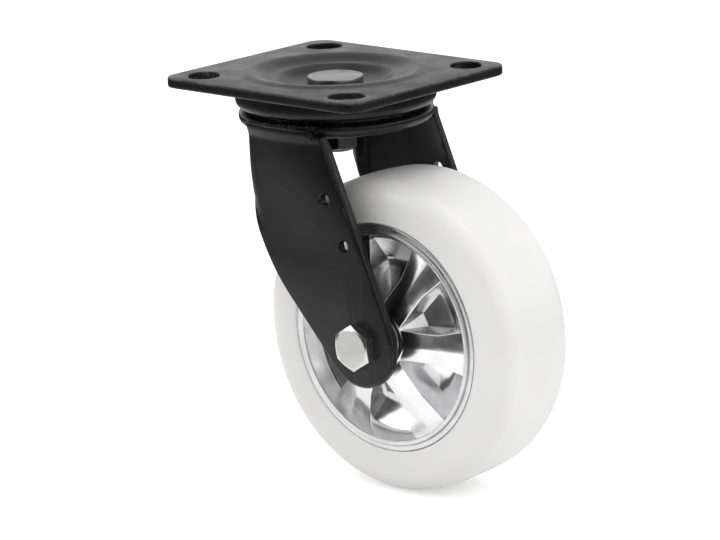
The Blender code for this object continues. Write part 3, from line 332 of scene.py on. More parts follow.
def make_swivel_head(coat, steel, zinc, bright_steel, nut_steel):
    """Race ring, kingpin, spacer, lower race, nut and crown."""
    pitch, height, diameter = UPPER_BALLS
    groove = diameter / 2 + BALL_PLAY
    open_angle = math.asin((RACE_RING_FOOT - height) / groove)
    upper = arc((pitch, height), groove, open_angle, math.pi - open_angle, 10)
    arch = arc((pitch, height), groove + 0.004, math.radians(145), math.radians(35), 12)
    ring = [(0.0465, -0.0053), (RACE_RING_RADIUS, -0.0053, 0.0005), (RACE_RING_RADIUS, RACE_RING_FOOT, 0.0043)]
    ring += [*upper, (RACE_RING_BORE, RACE_RING_FOOT, 0.0004), (RACE_RING_BORE, arch[0][1], 0.0004), *arch,
             (0.0465, arch[-1][1])]
    finish_piece("pressed_race_ring", turned(ring, ROUND_STEPS), [coat], "top", ["upper_race_ring"])

    low_pitch, low_height, low_diameter = LOWER_BALLS
    low_groove = low_diameter / 2 + BALL_PLAY
    crown_open = math.asin((height - CROWN_TOP) / groove)
    crown_track = arc((pitch, height), groove, math.pi + crown_open, FULL_TURN - crown_open, 10)
    boss_open = math.asin((CROWN_UNDERSIDE - low_height) / low_groove)
    boss_track = arc((low_pitch, low_height), low_groove, boss_open, math.pi - boss_open, 8)
    crown = [(0.0115, CROWN_BOSS_TOP, 0.0004), (CROWN_BOSS_RADIUS, CROWN_BOSS_TOP, 0.0008),
             (RACE_RING_BORE, CROWN_TOP), *crown_track, (0.0452, CROWN_TOP),
             (0.0465, CROWN_TOP - 0.0004), (CROWN_RADIUS, CROWN_TOP - 0.0004, 0.0016),
             (CROWN_RADIUS, CROWN_FOOT, 0.0042), (0.0342, CROWN_FOOT, 0.001), (CROWN_BOSS_RADIUS, -0.023, 0.001),
             (0.0279, CROWN_UNDERSIDE), *boss_track, (0.0115, CROWN_UNDERSIDE, 0.0004)]
    finish_piece("dished_crown", turned(crown, ROUND_STEPS), [coat], "fork", ["fork_crown"])

    kingpin = [(0, -0.00245), (0.014, -0.00245, 0.0004), (0.014, -0.0057, 0.0003), (0.007, -0.0057),
               (0.007, -0.029), (0.006, -0.0292)]
    for turn_index in range(6):
        thread = -0.0305 - 0.00155 * turn_index
        kingpin += [(0.006, thread), (0.0053, thread - 0.0007)]
    kingpin += [(0.0058, -0.0398), (0.0048, -0.040), (0, -0.040)]
    finish_piece("kingpin_with_head", turned(kingpin, 96, closed=False), [steel], "top", ["kingpin"])

    track_open = math.asin((low_height - LOWER_RACE_TOP) / low_groove)
    track = arc((low_pitch, low_height), low_groove, math.pi + track_open, FULL_TURN - track_open, 8)
    race = [(0.0073, LOWER_RACE_TOP), *track, (0.0255, LOWER_RACE_TOP, 0.0004), (0.0255, -0.0235, 0.0006),
            (0.0135, -0.0235, 0.0006), (0.0135, -0.029, 0.0004), (0.0073, -0.029)]
    finish_piece("lower_ball_race", turned(race, 96), [bright_steel], "top", ["lower_race"])
    spacer = [(0.0073, -0.0113), (0.010, -0.0113, 0.0003), (0.010, -0.0186, 0.0003), (0.0073, -0.0186)]
    finish_piece("race_spacer", turned(spacer), [zinc], "top", ["kingpin_spacer"])

    nut = hexagon_blank(0.019, NUT_FOOT, NUT_TOP, 0.25, (0.86, 0.94))
    bore = turned([(0, 0.01), (0.0063, 0.01), (0.0063, -0.06), (0, -0.06)], 48, closed=False)
    nut = cut(nut, [bore])
    collar = turned([(0.0063, -0.0402), (0.0078, -0.0402, 0.0005), (0.0078, -0.0385), (0.0063, -0.0385)], 48)
    finish_piece("kingpin_lock_nut", joined(nut, collar), [nut_steel], "top", ["kingpin_nut"])


def hexagon_blank(flats, low, high, turn, chamfers, along="Z", centre=SWIVEL):
    """A hexagon whose ends (low, high) are turned to a chamfer, down to a share of its flats. 0 leaves it."""
    corner = flats / math.sqrt(3)
    blank = turned([(0, high), (corner, high), (corner, low), (0, low)], 6, along, centre, closed=False)
    axis = "Z" if along == "Z" else "Y"
    bmesh.ops.rotate(blank, verts=blank.verts, cent=centre, matrix=Matrix.Rotation(turn, 3, axis))
    over = 0.002
    low_face, high_face = (flats / 2 * share for share in chamfers)
    top = [(0, high), (high_face, high), (corner + GAP, high - (corner - high_face) * 0.58)] if chamfers[1] else [
        (0, high + over), (corner + over, high + over)]
    foot = [(corner + GAP, low + (corner - low_face) * 0.58), (low_face, low), (0, low)] if chamfers[0] else [
        (corner + over, low - over), (0, low - over)]
    blank = cut(blank, [turned(top + foot, 96, along, centre, closed=False)], "INTERSECT")
    bmesh.ops.dissolve_limit(blank, angle_limit=math.radians(1), verts=blank.verts, edges=blank.edges)
    return blank


def make_ball_row(name, row, count, cage, body, node, steel, cage_painted_shade, along="Z", centre=SWIVEL):
    """Balls on their pitch circle, and the cage ring that keeps them apart."""
    pitch, height, diameter = row
    inner, outer, half = cage
    ring = turned([(inner, height + half), (outer, height + half), (outer, height - half), (inner, height - half)],
                  72, along, centre)
    for face in ring.faces:
        face.material_index = 1
    axis = Vector((0, 0, 1)) if along == "Z" else Vector((0, 1, 0))
    balls = bmesh.new()
    place = Matrix.Translation(centre + Vector((pitch, 0, 0)) + axis * height)
    bmesh.ops.create_uvsphere(balls, u_segments=20, v_segments=12, radius=diameter / 2, matrix=place)
    bmesh.ops.spin(balls, geom=everything(balls), cent=centre, axis=axis, steps=count - 1,
                   angle=FULL_TURN * (count - 1) / count, use_duplicate=True)
    finish_piece(name, joined(ring, balls), [steel, cage_painted_shade], body, [node])


# ---------------------------------------------------------------- fork

def leg_outline():
    """Outline of a leg as (x, z) points, and the direction of its front edge."""
    end = Vector((AXLE.x, AXLE.z))
    reach = end - LEG_CORNER
    heading = math.atan2(reach.y, reach.x) + math.asin(LEG_END_RADIUS / reach.length)
    between = end - LEG_REAR_CENTRE
    spread = math.acos((LEG_REAR_RADIUS - LEG_END_RADIUS) / between.length)
    rear_normal = math.atan2(between.y, between.x) - spread
    points = [tuple(LEG_CORNER)]
    points += reversed(arc(end, LEG_END_RADIUS, rear_normal, heading + math.pi / 2, 40))
    points += reversed(arc(LEG_REAR_CENTRE, LEG_REAR_RADIUS, -math.pi, rear_normal, 24))
    points += [(-LEG_REAR, LEG_TOP), (0.0222, LEG_TOP), (0.0252, LEG_CORNER.y)]
    return points, heading


def fade(value, start, end):
    """Smooth step from 0 at start to 1 at end."""
    share = min(max((value - start) / (end - start), 0), 1)
    return share * share * (3 - 2 * share)


def leg_bow(x, z, heading):
    """How far a leg stands out of its flat plane, to follow the crown and lap over its rim."""
    front = LEG_CORNER.x + (z - LEG_CORNER.y) * math.cos(heading) / math.sin(heading)
    across = (2 * x + LEG_REAR - front) / (front + LEG_REAR)
    bow = LEG_BOW * max(0, 1 - across ** 2) if abs(across) < 1 else 0
    depth = min(max((LEG_BOW_TOP - z) / (LEG_BOW_TOP - LEG_BOW_FOOT), 0), 1)
    return bow * (1 + math.cos(math.pi * depth)) / 2 + LEG_LAP * fade(z, LAP_FOOT, LAP_FULL)


def roll_rear(vert):
    """Roll a leg's rear margin inwards. The roll runs out down the leg."""
    z = vert.co.z
    share = fade(z, ROLL_FOOT, ROLL_FULL)
    if share == 0:
        return
    below = min(z - LEG_REAR_CENTRE.y, 0)
    rear = LEG_REAR_CENTRE.x - math.sqrt(LEG_REAR_RADIUS ** 2 - below ** 2)
    inset = vert.co.x - rear
    if inset > ROLL_WIDTH:
        return
    middle = (LEG_INNER + LEG_OUTER) / 2
    angle = ROLL_ANGLE * share
    strip = (ROLL_WIDTH - inset) * (1 + ROLL_STRETCH * share)
    turn = min(strip / ROLL_RADIUS, angle)
    straight = max(strip - ROLL_RADIUS * angle, 0)
    radius = ROLL_RADIUS + vert.co.y - middle
    vert.co.x = rear + ROLL_WIDTH - radius * math.sin(turn) - straight * math.cos(turn)
    vert.co.y = middle - ROLL_RADIUS + radius * math.cos(turn) - straight * math.sin(turn)


def make_leg(side, word, coat):
    """One leg: cut from plate, chamfered round its outer face, bowed and rolled at the top, drilled."""
    points, heading = leg_outline()
    leg = slab(points, LEG_OUTER - LEG_INNER)
    bmesh.ops.translate(leg, verts=leg.verts, vec=(0, LEG_INNER, 0))

    def on_top(edge):
        return all(vert.co.z > LEG_TOP - NEAR for vert in edge.verts)

    def outer_rim(edge):
        return not on_top(edge) and all(vert.co.y > LEG_OUTER - NEAR for vert in edge.verts)

    def outer_top(edge):
        return on_top(edge) and all(vert.co.y > LEG_OUTER - NEAR for vert in edge.verts)

    def inner_rim(edge):
        return all(vert.co.y < LEG_INNER + NEAR for vert in edge.verts)

    soften(leg, LEG_CHAMFER, 1, 60, outer_rim)
    soften(leg, 0.0026, 5, 60, outer_top)
    soften(leg, 0.0006, 2, 60, inner_rim)
    soften(leg, 0.0003, 2, 30)
    cuts = [((0.001 * step - LEG_REAR, 0, 0), (1, 0, 0)) for step in range(1, 16)]
    cuts += [((0.0026 * step - LEG_REAR + 0.015, 0, 0), (1, 0, 0)) for step in range(1, 26)]
    cuts += [((0, 0, LEG_BOW_FOOT + 0.003 * step), (0, 0, 1)) for step in range(0, 20)]
    cuts += [((0, 0, LAP_FOOT + 0.0008 * step), (0, 0, 1)) for step in range(0, 9)]
    for place, facing in cuts:
        bmesh.ops.bisect_plane(leg, geom=everything(leg), dist=MERGE, plane_co=place, plane_no=facing)
    for vert in leg.verts:
        rise = leg_bow(vert.co.x, vert.co.z, heading)
        roll_rear(vert)
        vert.co.y += rise
    cutters = [hole_cutter(AXLE_BORE, LEG_INNER, LEG_OUTER, 0.0003, "Y", AXLE)]
    for spot in BRAKE_HOLES:
        rise = leg_bow(spot.x, spot.y, heading)
        cutters.append(hole_cutter(0.003, LEG_INNER + rise, LEG_OUTER + rise, 0.0005, "Y",
                                   Vector((spot.x, 0, spot.y))))
    leg = cut(leg, cutters)
    if side < 0:
        bmesh.ops.scale(leg, verts=leg.verts, vec=(1, -1, 1))
        bmesh.ops.reverse_faces(leg, faces=leg.faces)
    finish_piece("bowed_leg_" + word, leg, [coat], "fork", ["fork_leg_" + word],
                 sharp=24)


def make_weld(side, word, coat):
    """Ripples of weld between a leg's top edge and the crown's rim, a run inside, and the end tab."""
    bead = bmesh.new()
    runs = ((-0.003, 0.0235, 0.0002, -0.0192, 0.0014, 0.00105), (-0.019, 0.0215, -0.0092, -0.0252, 0.0013, 0.0012))
    for start, end, out, height, size, pitch in runs:
        count = int((end - start) / pitch)
        for index in range(count):
            x = start + (end - start) * index / (count - 1)
            swing = math.sin(index * 2.4) * 0.00016 + math.sin(index * 0.9) * 0.00012
            y = math.sqrt(CROWN_RADIUS ** 2 - x ** 2) + out + swing
            lean = Matrix.Rotation(-side * math.atan2(x, y) + 0.4 + swing * 900, 4, "Z")
            shape = Matrix.Diagonal((size * 0.72, size * (0.8 + swing * 500), size * (1 + swing * 700), 1))
            place = Matrix.Translation((x, side * y, height + swing * 1.2))
            bmesh.ops.create_uvsphere(bead, u_segments=14, v_segments=8, radius=1, matrix=place @ lean @ shape)
    for x, width in ((0.0246, 0.0009), (0.0284, 0.0007)):
        y = math.sqrt(CROWN_RADIUS ** 2 - x ** 2) - 0.0002
        place = Matrix.Translation((x, side * y, -0.0203)) @ Matrix.Rotation(-side * math.atan2(x, y), 4, "Z")
        made = bmesh.ops.create_cube(bead, size=1, matrix=place @ Matrix.Diagonal((width, 0.0022, 0.0042, 1)))
        edges = list({edge for vert in made["verts"] for edge in vert.link_edges})
        bmesh.ops.bevel(bead, geom=edges, offset=0.00025, segments=2, profile=0.5, affect="EDGES", material=-1)
    finish_piece("weld_bead_" + word, bead, [coat], "fork", sharp=80)


def make_axle(zinc, bolt_face, insert):
    """Axle bolt, washer and locking nut."""
    head = hexagon_blank(0.0205, -0.0502, -0.0443, math.pi / 6 - math.radians(3), (0.9, 0), "Y", AXLE)
    soften(head, 0.00018, 2, 20)
    for item in head.faces:
        item.material_index = 1 if item.normal.y < -0.98 else 0
    shank = [(0, 0.0628)]
    for turn_index in range(9):
        thread = 0.0618 - 0.0016 * turn_index
        shank += [(0.0058, thread), (0.0053, thread - 0.0008)]
    shank += [(0.006, 0.0465), (0.006, -0.0445), (0, -0.0445)]
    shank[1] = (0.0049, 0.0628)
    finish_piece("axle_bolt_and_head", joined(head, turned(shank, 64, "Y", AXLE, closed=False)),
                 [zinc, bolt_face], "fork", ["axle_bolt"], sharp=25)
    washer = [(AXLE_BORE, 0.0443), (AXLE_BORE, 0.0468), (0.012, 0.0468, 0.0005), (0.012, 0.0443, 0.0003)]
    finish_piece("flat_washer", turned(washer, 96, "Y", AXLE), [zinc], "fork", ["axle_washer"])

    nut = hexagon_blank(0.019, 0.0471, 0.0579, 0.2, (0.94, 0.92), "Y", AXLE)
    nut = cut(nut, [hole_cutter(AXLE_BORE, 0.0471, 0.0579, 0.0004, "Y", AXLE)])
    collar = [(0.0074, 0.0577), (0.0074, 0.0597), (0.0082, 0.0604, 0.0004), (0.0086, 0.0577)]
    ring = [(AXLE_BORE, 0.0577), (AXLE_BORE, 0.0599, 0.0003), (0.0074, 0.0599), (0.0074, 0.0577)]
    ring = turned(ring, 64, "Y", AXLE)
    for item in ring.faces:
        item.material_index = 1
    finish_piece("axle_lock_nut", joined(nut, turned(collar, 64, "Y", AXLE), ring), [zinc, insert], "fork",
                 ["axle_nut"], sharp=25)


def make_rings_on_axle(zinc, bright_steel, rubber, cage_painted_shade):
    """Tube, collars, bearings and seals, most of them hidden between the legs."""
    rings = [("axle_sleeve", "axle_tube", "tube_steel", AXLE_BORE, 0.0075, -0.0387, 0.0387, 0.0003, zinc, "fork"),
             ("hub_spacer", "bearing_spacer", "bearing_spacer_steel", BEARING_BORE, 0.0094, -0.0222, 0.0222, 0.0002,
              zinc, "fork")]
    for side, word in ((-1, "head_side"), (1, "nut_side")):
        near, far = sorted((side * 0.0298, side * 0.0387))
        rings.append(("spacing_collar_" + word, "axle_collar_" + word, "collar_steel_" + word, BEARING_BORE, 0.011,
                      near, far, 0.0006, zinc, "fork"))
        low, high = sorted((side * 0.0287, side * 0.0295))
        rings.append(("lipped_seal_" + word, "bearing_seal_" + word, "seal_rubber_" + word, 0.00984, 0.01206, low,
                      high, 0.0002, rubber, "wheel"))
    for name, node, slot, bore, radius, low, high, edge, finish, body in rings:
        profile = [(bore, low), (bore, high), (radius, high, edge), (radius, low, edge)]
        finish_piece(name, turned(profile, 72, "Y", AXLE), [finish], body, [node])
    for side, word in ((-1, "head_side"), (1, "nut_side")):
        middle = side * BEARING_MIDDLE
        low, high = middle - BEARING_HALF, middle + BEARING_HALF
        wrap = math.asin(math.sqrt(BALL_TRACK ** 2 - TRACK_CUT ** 2) / BALL_TRACK)
        track = arc((BEARING_PITCH, middle), BALL_TRACK, math.pi - wrap, math.pi + wrap, 6)
        inner = [(BEARING_BORE, low, 0.0003), (BEARING_BORE, high, 0.0003), (INNER_RING_RADIUS, high, 0.0003), *track,
                 (INNER_RING_RADIUS, low, 0.0003)]
        finish_piece("inner_ring_" + word, turned(inner, 72, "Y", AXLE), [bright_steel], "fork",
                     ["bearing_inner_ring_" + word])
        track = arc((BEARING_PITCH, middle), BALL_TRACK, -wrap, wrap, 6)
        outer = [(BEARING_RADIUS, high, 0.0003), (BEARING_RADIUS, low, 0.0003), (OUTER_RING_BORE, low, 0.0003), *track,
                 (OUTER_RING_BORE, high, 0.0003)]
        finish_piece("outer_ring_" + word, turned(outer, 72, "Y", AXLE), [bright_steel], "wheel",
                     ["bearing_outer_ring_" + word])
        make_ball_row("hub_balls_" + word, (BEARING_PITCH, middle, 0.004), 8, (0.00985, 0.01195, 0.0007),
                      word + "_balls", "bearing_balls_" + word, bright_steel,
                      cage_painted_shade, "Y", AXLE)


# ---------------------------------------------------------------- wheel

def make_spokes():
    """Cast spokes about the axle: ridged on both faces, drafted, flared where they meet the rim."""
    root = 0.0142
    nose = HUB_RADIUS / math.cos(math.pi / SPOKES) - 0.001
    flare = nose + (RIM_INNER - nose) * SPOKE_FLARE_START
    fall = (SPOKE_RIDGE_HUB - SPOKE_RIDGE_RIM) / (RIM_INNER - nose)
    outline = [(root, -SPOKE_HALF_WIDTH), (nose, 0), (root, SPOKE_HALF_WIDTH), (flare, SPOKE_HALF_WIDTH),
               (RIM_INNER, SPOKE_FLARE), (RIM_INNER, 0), (RIM_INNER, -SPOKE_FLARE), (flare, -SPOKE_HALF_WIDTH)]
    spoke = slab(outline, 2 * HUB_HALF)
    bmesh.ops.translate(spoke, verts=spoke.verts, vec=(0, -HUB_HALF, 0))

    def nearest(verts, along, across):
        return min(verts, key=lambda vert: math.hypot(vert.co.x - along, vert.co.z - across))

    for face in [face for face in spoke.faces if len(face.verts) == len(outline)]:
        verts = face.verts[:]
        rim_end = nearest(verts, RIM_INNER, 0)
        for start in ((nose, 0), (flare, SPOKE_HALF_WIDTH), (flare, -SPOKE_HALF_WIDTH)):
            bmesh.ops.connect_verts(spoke, verts=[nearest(verts, *start), rim_end])
    for vert in spoke.verts:
        height = SPOKE_RIDGE_HUB - (vert.co.x - nose) * fall
        if abs(vert.co.z) > GAP:
            height -= SPOKE_RIM_DROP if vert.co.x > RIM_INNER - 0.001 else SPOKE_EDGE_DROP
        vert.co.y = math.copysign(height, vert.co.y)
    bmesh.ops.bisect_plane(spoke, geom=everything(spoke), dist=MERGE, plane_co=(0, 0, 0), plane_no=(0, 1, 0))
    for vert in spoke.verts:
        if abs(vert.co.y) < NEAR < abs(vert.co.z):
            vert.co.z += math.copysign(SPOKE_DRAFT, vert.co.z)
    soften(spoke, 0.0005, 3, 12, lambda edge: any(abs(vert.co.y) > 0.001 for vert in edge.verts))
    bmesh.ops.rotate(spoke, verts=spoke.verts, cent=(0, 0, 0), matrix=Matrix.Rotation(-SPOKE_TURN, 3, "Y"))
    bmesh.ops.translate(spoke, verts=spoke.verts, vec=AXLE)
    bmesh.ops.spin(spoke, geom=everything(spoke), cent=AXLE, axis=(0, 1, 0), steps=SPOKES - 1,
                   angle=FULL_TURN * (SPOKES - 1) / SPOKES, use_duplicate=True)
    return spoke


def make_hub():
    """Tapered hub with a corner under each spoke, bored for its bearings."""
    share = 1 / math.cos(math.pi / SPOKES)
    half = [(0, 0.030), (0.0148, 0.030), (0.0158, 0.029), (0.018, 0.0235), (0.0226, 0.0155)]
    hub = turned(mirror_half([(radius * share, height) for radius, height in half]), SPOKES, "Y", AXLE, closed=False)
    soften(hub, 0.0006, 3, 12)
    bmesh.ops.rotate(hub, verts=hub.verts, cent=AXLE, matrix=Matrix.Rotation(-SPOKE_TURN, 3, "Y"))
    bore = mirror_half([(0, 0.034), (0.0148, 0.034), (0.0148, 0.03), (0.0143, 0.0295), (0.0143, 0.0222),
                        (OUTER_RING_BORE, 0.0222)])
    return cut(hub, [turned(bore, 96, "Y", AXLE, closed=False)])


def make_wheel(cast, machined, nylon):
    """Wheel core, its machined rim, and the nylon tread."""
    half = [(OUTER_RING_BORE, 0.0222), (0.0143, 0.0222), (0.0143, 0.029), (0.0148, 0.029), (0.0148, 0.0195),
            (0.03574, WEB_HALF, 0.003), (0.0496, 0.0175, 0.0015), (RIM_INNER, RIM_FACE)]
    rim = [(0.0524, 0.0268, 0.0003), (0.0544, 0.0268, 0.0005), (0.0545, 0.0248, 0.0002),
           (0.0550, 0.0256, 0.0003), (0.0575, 0.0256, 0.0004), (0.0576, 0.0224), (0.0566, 0.0214)]
    barrel = turned(mirror_half(half + rim), ROUND_STEPS, "Y", AXLE)
    for face in barrel.faces:
        middle = face.calc_center_median() - AXLE
        if math.hypot(middle.x, middle.z) > RIM_INNER and abs(middle.y) > 0.0245:
            face.material_index = 1
    core = joined(barrel, make_hub(), make_spokes())
    finish_piece("cast_wheel_core", core, [cast, machined], "wheel", ["wheel_core"], sharp=24)

    section = [(0.0569, 0.0211), (0.0579, 0.0221), (0.0579, 0.0254), (0.0586, 0.026, 0.0005)]
    flat_half = TREAD_HALF - TREAD_SHOULDER
    shoulder = arc((flat_half, TREAD_SHOULDER_CENTRE), TREAD_SHOULDER, 0, math.radians(86), 22)
    section += [(radius, height) for height, radius in shoulder]
    for step in range(1, 8):
        share = 1 - step / 7
        section.append((TREAD_RADIUS - TREAD_CROWN * share ** 2, flat_half * share))
    tread = turned(mirror_half(section), 160, "Y", AXLE)
    finish_piece("nylon_tread", tread, [nylon], "wheel", ["tread"])


# ---------------------------------------------------------------- finishes

def add_node(tree, kind, settings=None, **inputs):
    """A node with its settings, and its sockets set or linked. Underscores in socket names are spaces."""
    made = tree.nodes.new(kind)
    for key, value in (settings or {}).items():
        setattr(made, key, value)
    for key, value in inputs.items():
        numbered = key[0] == "i" and key[1:].isdigit()
        socket = made.inputs[int(key[1:]) if numbered else key.replace("_", " ")]
        if isinstance(value, bpy.types.NodeSocket):
            tree.links.new(value, socket)
        else:
            socket.default_value = value
    return made


def new_group(name, inputs, outputs):
    """An empty shader group with named sockets."""
    tree = bpy.data.node_groups.new(name, "ShaderNodeTree")
    for socket, kind in inputs:
        tree.interface.new_socket(name=socket, in_out="INPUT", socket_type="NodeSocket" + kind)
    for socket, kind in outputs:
        tree.interface.new_socket(name=socket, in_out="OUTPUT", socket_type="NodeSocket" + kind)
    return tree, tree.nodes.new("NodeGroupInput"), tree.nodes.new("NodeGroupOutput")


def uneven_group():
    """A soft noise between two values: patches of gloss, shade or height."""
    tree, given, result = new_group("uneven_patches", (("Vector", "Vector"), ("Scale", "Float"), ("Detail", "Float"),
                                                       ("Low", "Float"), ("High", "Float")), (("Value", "Float"),))
    noise = add_node(tree, "ShaderNodeTexNoise", Vector=given.outputs["Vector"], Scale=given.outputs["Scale"],
                     Detail=given.outputs["Detail"])
    spread = add_node(tree, "ShaderNodeMapRange", None, Value=noise.outputs["Fac"], From_Min=0.3, From_Max=0.7,
                      To_Min=given.outputs["Low"], To_Max=given.outputs["High"])
    tree.links.new(spread.outputs["Result"], result.inputs["Value"])
    return tree


def turning_group():
    """Fine rings about an axis, left by turning. Across holds 0 along the axis and 1 elsewhere."""
    tree, given, result = new_group("turning_rings", (("Vector", "Vector"), ("Centre", "Vector"), ("Across", "Vector"),
                                                      ("Scale", "Float")), (("Value", "Float"),))
    shift = add_node(tree, "ShaderNodeVectorMath", {"operation": "SUBTRACT"}, i0=given.outputs["Vector"],
                     i1=given.outputs["Centre"])
    flat = add_node(tree, "ShaderNodeVectorMath", {"operation": "MULTIPLY"}, i0=shift.outputs["Vector"],
                    i1=given.outputs["Across"])
    length = add_node(tree, "ShaderNodeVectorMath", {"operation": "LENGTH"}, i0=flat.outputs["Vector"])
    noise = add_node(tree, "ShaderNodeTexNoise", {"noise_dimensions": "1D"}, W=length.outputs["Value"],
                     Scale=given.outputs["Scale"], Detail=3.0)
    tree.links.new(noise.outputs["Fac"], result.inputs["Value"])
    return tree


def rubbed_and_highlit_group():
    """Where an edge is rubbed bright and lightened as a painted highlight: its mark broken up by noise."""
    tree, given, result = new_group("rubbed_and_highlit_edges", (("Vector", "Vector"), ("Wear", "Float"), ("Amount", "Float")),
                                    (("Mask", "Float"),))
    noise = add_node(tree, "ShaderNodeTexNoise", Vector=given.outputs["Vector"], Scale=260.0, Detail=5.0)
    spots = add_node(tree, "ShaderNodeMapRange", None, Value=noise.outputs["Fac"], From_Min=0.45, From_Max=0.65)
    both = add_node(tree, "ShaderNodeMath", {"operation": "MULTIPLY"}, i0=spots.outputs["Result"],
                    i1=given.outputs["Wear"])
    amount = add_node(tree, "ShaderNodeMath", {"operation": "MULTIPLY"}, i0=both.outputs["Value"],
                      i1=given.outputs["Amount"])
    tree.links.new(amount.outputs["Value"], result.inputs["Mask"])
    return tree


UNEVEN = uneven_group()
TURNING = turning_group()
RUBBED_AND_HIGHLIT = rubbed_and_highlit_group()


def start_finish(name, roughness, metallic):
    """A material with its shader and object coordinates."""
    material = bpy.data.materials.new(name)
    material.use_nodes = True
    tree = material.node_tree
    shader = tree.nodes["Principled BSDF"]
    shader.inputs["Roughness"].default_value = roughness
    shader.inputs["Metallic"].default_value = metallic
    place = tree.nodes.new("ShaderNodeTexCoord").outputs["Object"]
    return material, tree, shader, place


def use_group(tree, group, **inputs):
    """Place a shared group in a material."""
    made = tree.nodes.new("ShaderNodeGroup")
    made.node_tree = group
    for key, value in inputs.items():
        if isinstance(value, bpy.types.NodeSocket):
            tree.links.new(value, made.inputs[key])
        else:
            made.inputs[key].default_value = value
    return made.outputs[0]


def uneven(tree, place, scale, detail, low=0.0, high=1.0):
    """Soft patches between two values."""
    return use_group(tree, UNEVEN, Vector=place, Scale=scale, Detail=detail, Low=low, High=high)


def mix_colours(tree, mask, first, second):
    """Mix two colours by a mask."""
    made = tree.nodes.new("ShaderNodeMix")
    made.data_type = "RGBA"
    tree.links.new(mask, made.inputs["Factor"])
    for socket, value in ((made.inputs[6], first), (made.inputs[7], second)):
        if isinstance(value, bpy.types.NodeSocket):
            tree.links.new(value, socket)
        else:
            socket.default_value = (*value, 1)
    return made.outputs[2]


def bump(tree, shader, layers):
    """Stack heights, each (value, distance in metres, strength), on the shader's normal."""
    normal = None
    for value, distance, strength in layers:
        made = add_node(tree, "ShaderNodeBump", None, Height=value, Distance=distance, Strength=strength)
        if normal:
            tree.links.new(normal, made.inputs["Normal"])
        normal = made.outputs["Normal"]
    tree.links.new(normal, shader.inputs["Normal"])


def black_coat(name, roughness=(0.24, 0.40), peel=0.25, rub_and_highlight=0.35):
    """Semi-gloss black coating: orange peel, uneven gloss, edges lightened partly as rubbed wear and partly as a
    painted highlight.
    """
    material, tree, shader, place = start_finish(name, roughness[0], 0)
    shader.inputs["Specular IOR Level"].default_value = 0.28
    shade = uneven(tree, place, 38.0, 4.0)
    colour = mix_colours(tree, shade, (0.0045, 0.0045, 0.005), (0.0075, 0.0075, 0.008))
    wear_and_highlight = tree.nodes.new("ShaderNodeAttribute")
    wear_and_highlight.attribute_name = "edge_wear_and_highlight"
    rubbed_and_highlit = use_group(tree, RUBBED_AND_HIGHLIT, Vector=place, Wear=wear_and_highlight.outputs["Fac"], Amount=rub_and_highlight)
    # edges mixed towards grey: partly rubbed wear, partly a painted highlight along the chamfers
    tree.links.new(mix_colours(tree, rubbed_and_highlit, colour, (0.16, 0.16, 0.16)), shader.inputs["Base Color"])
    gloss = uneven(tree, place, 55.0, 6.0, roughness[0], roughness[1])
    tree.links.new(gloss, shader.inputs["Roughness"])
    skin = uneven(tree, place, 1100.0, 2.0)
    waves = uneven(tree, place, 70.0, 2.0)
    bump(tree, shader, ((waves, 0.0002, 0.35), (skin, 0.00004, peel)))
    return material


def turned_metal(name, colour, roughness, centre, across, ring_depth=0.00003, blotch=0.12):
    """Bare or plated metal with faint turning rings and uneven gloss."""
    material, tree, shader, place = start_finish(name, roughness, 1.0)
    rings = use_group(tree, TURNING, Vector=place, Centre=centre, Across=across, Scale=2600.0)
    patches = uneven(tree, place, 90.0, 5.0)
    dark = tuple(value * (1 - blotch) for value in colour)
    tree.links.new(mix_colours(tree, patches, dark, colour), shader.inputs["Base Color"])
    gloss = uneven(tree, place, 140.0, 5.0, roughness * 0.75, roughness * 1.35)
    tree.links.new(gloss, shader.inputs["Roughness"])
    grain = uneven(tree, place, 1800.0, 3.0)
    bump(tree, shader, ((rings, ring_depth, 0.5), (grain, 0.00001, 0.3)))
    return material


def cast_aluminium(name):
    """Polished casting: bright, wavy, with a few duller patches and fine scratches."""
    material, tree, shader, place = start_finish(name, 0.12, 1.0)
    patches = uneven(tree, place, 70.0, 6.0)
    tree.links.new(mix_colours(tree, patches, (0.74, 0.74, 0.745), (0.84, 0.84, 0.845)), shader.inputs["Base Color"])
    gloss = uneven(tree, place, 120.0, 6.0, 0.15, 0.27)
    tree.links.new(gloss, shader.inputs["Roughness"])
    waves = uneven(tree, place, 70.0, 2.0)
    stretch = add_node(tree, "ShaderNodeVectorMath", {"operation": "MULTIPLY"}, i0=place, i1=(1.0, 1.0, 9.0))
    scratches = uneven(tree, stretch.outputs["Vector"], 420.0, 4.0)
    bump(tree, shader, ((waves, 0.0003, 0.4), (scratches, 0.000012, 0.3)))
    return material


def white_nylon(name):
    """Warm white nylon, turned smooth, faintly mottled."""
    material, tree, shader, place = start_finish(name, 0.36, 0)
    shader.inputs["Subsurface Weight"].default_value = 0.12
    shader.inputs["Subsurface Radius"].default_value = (0.004, 0.0036, 0.003)
    shader.inputs["Subsurface Scale"].default_value = 1.0
    shade = uneven(tree, place, 24.0, 5.0)
    tree.links.new(mix_colours(tree, shade, (0.83, 0.825, 0.805), (0.875, 0.87, 0.855)), shader.inputs["Base Color"])
    gloss = uneven(tree, place, 60.0, 4.0, 0.30, 0.44)
    tree.links.new(gloss, shader.inputs["Roughness"])
    rings = use_group(tree, TURNING, Vector=place, Centre=AXLE, Across=(1.0, 0.0, 1.0), Scale=900.0)
    grain = uneven(tree, place, 900.0, 3.0)
    bump(tree, shader, ((rings, 0.00002, 0.25), (grain, 0.00002, 0.15)))
    return material


def plain_moulding(name, colour, roughness):
    """Rubber or plastic with a fine moulded grain."""
    material, tree, shader, place = start_finish(name, roughness, 0)
    shade = uneven(tree, place, 200.0, 3.0)
    tree.links.new(mix_colours(tree, shade, tuple(value * 0.8 for value in colour), colour),
                   shader.inputs["Base Color"])
    grain = uneven(tree, place, 1500.0, 2.0)
    bump(tree, shader, ((grain, 0.00003, 0.4),))
    return material


# ---------------------------------------------------------------- studio

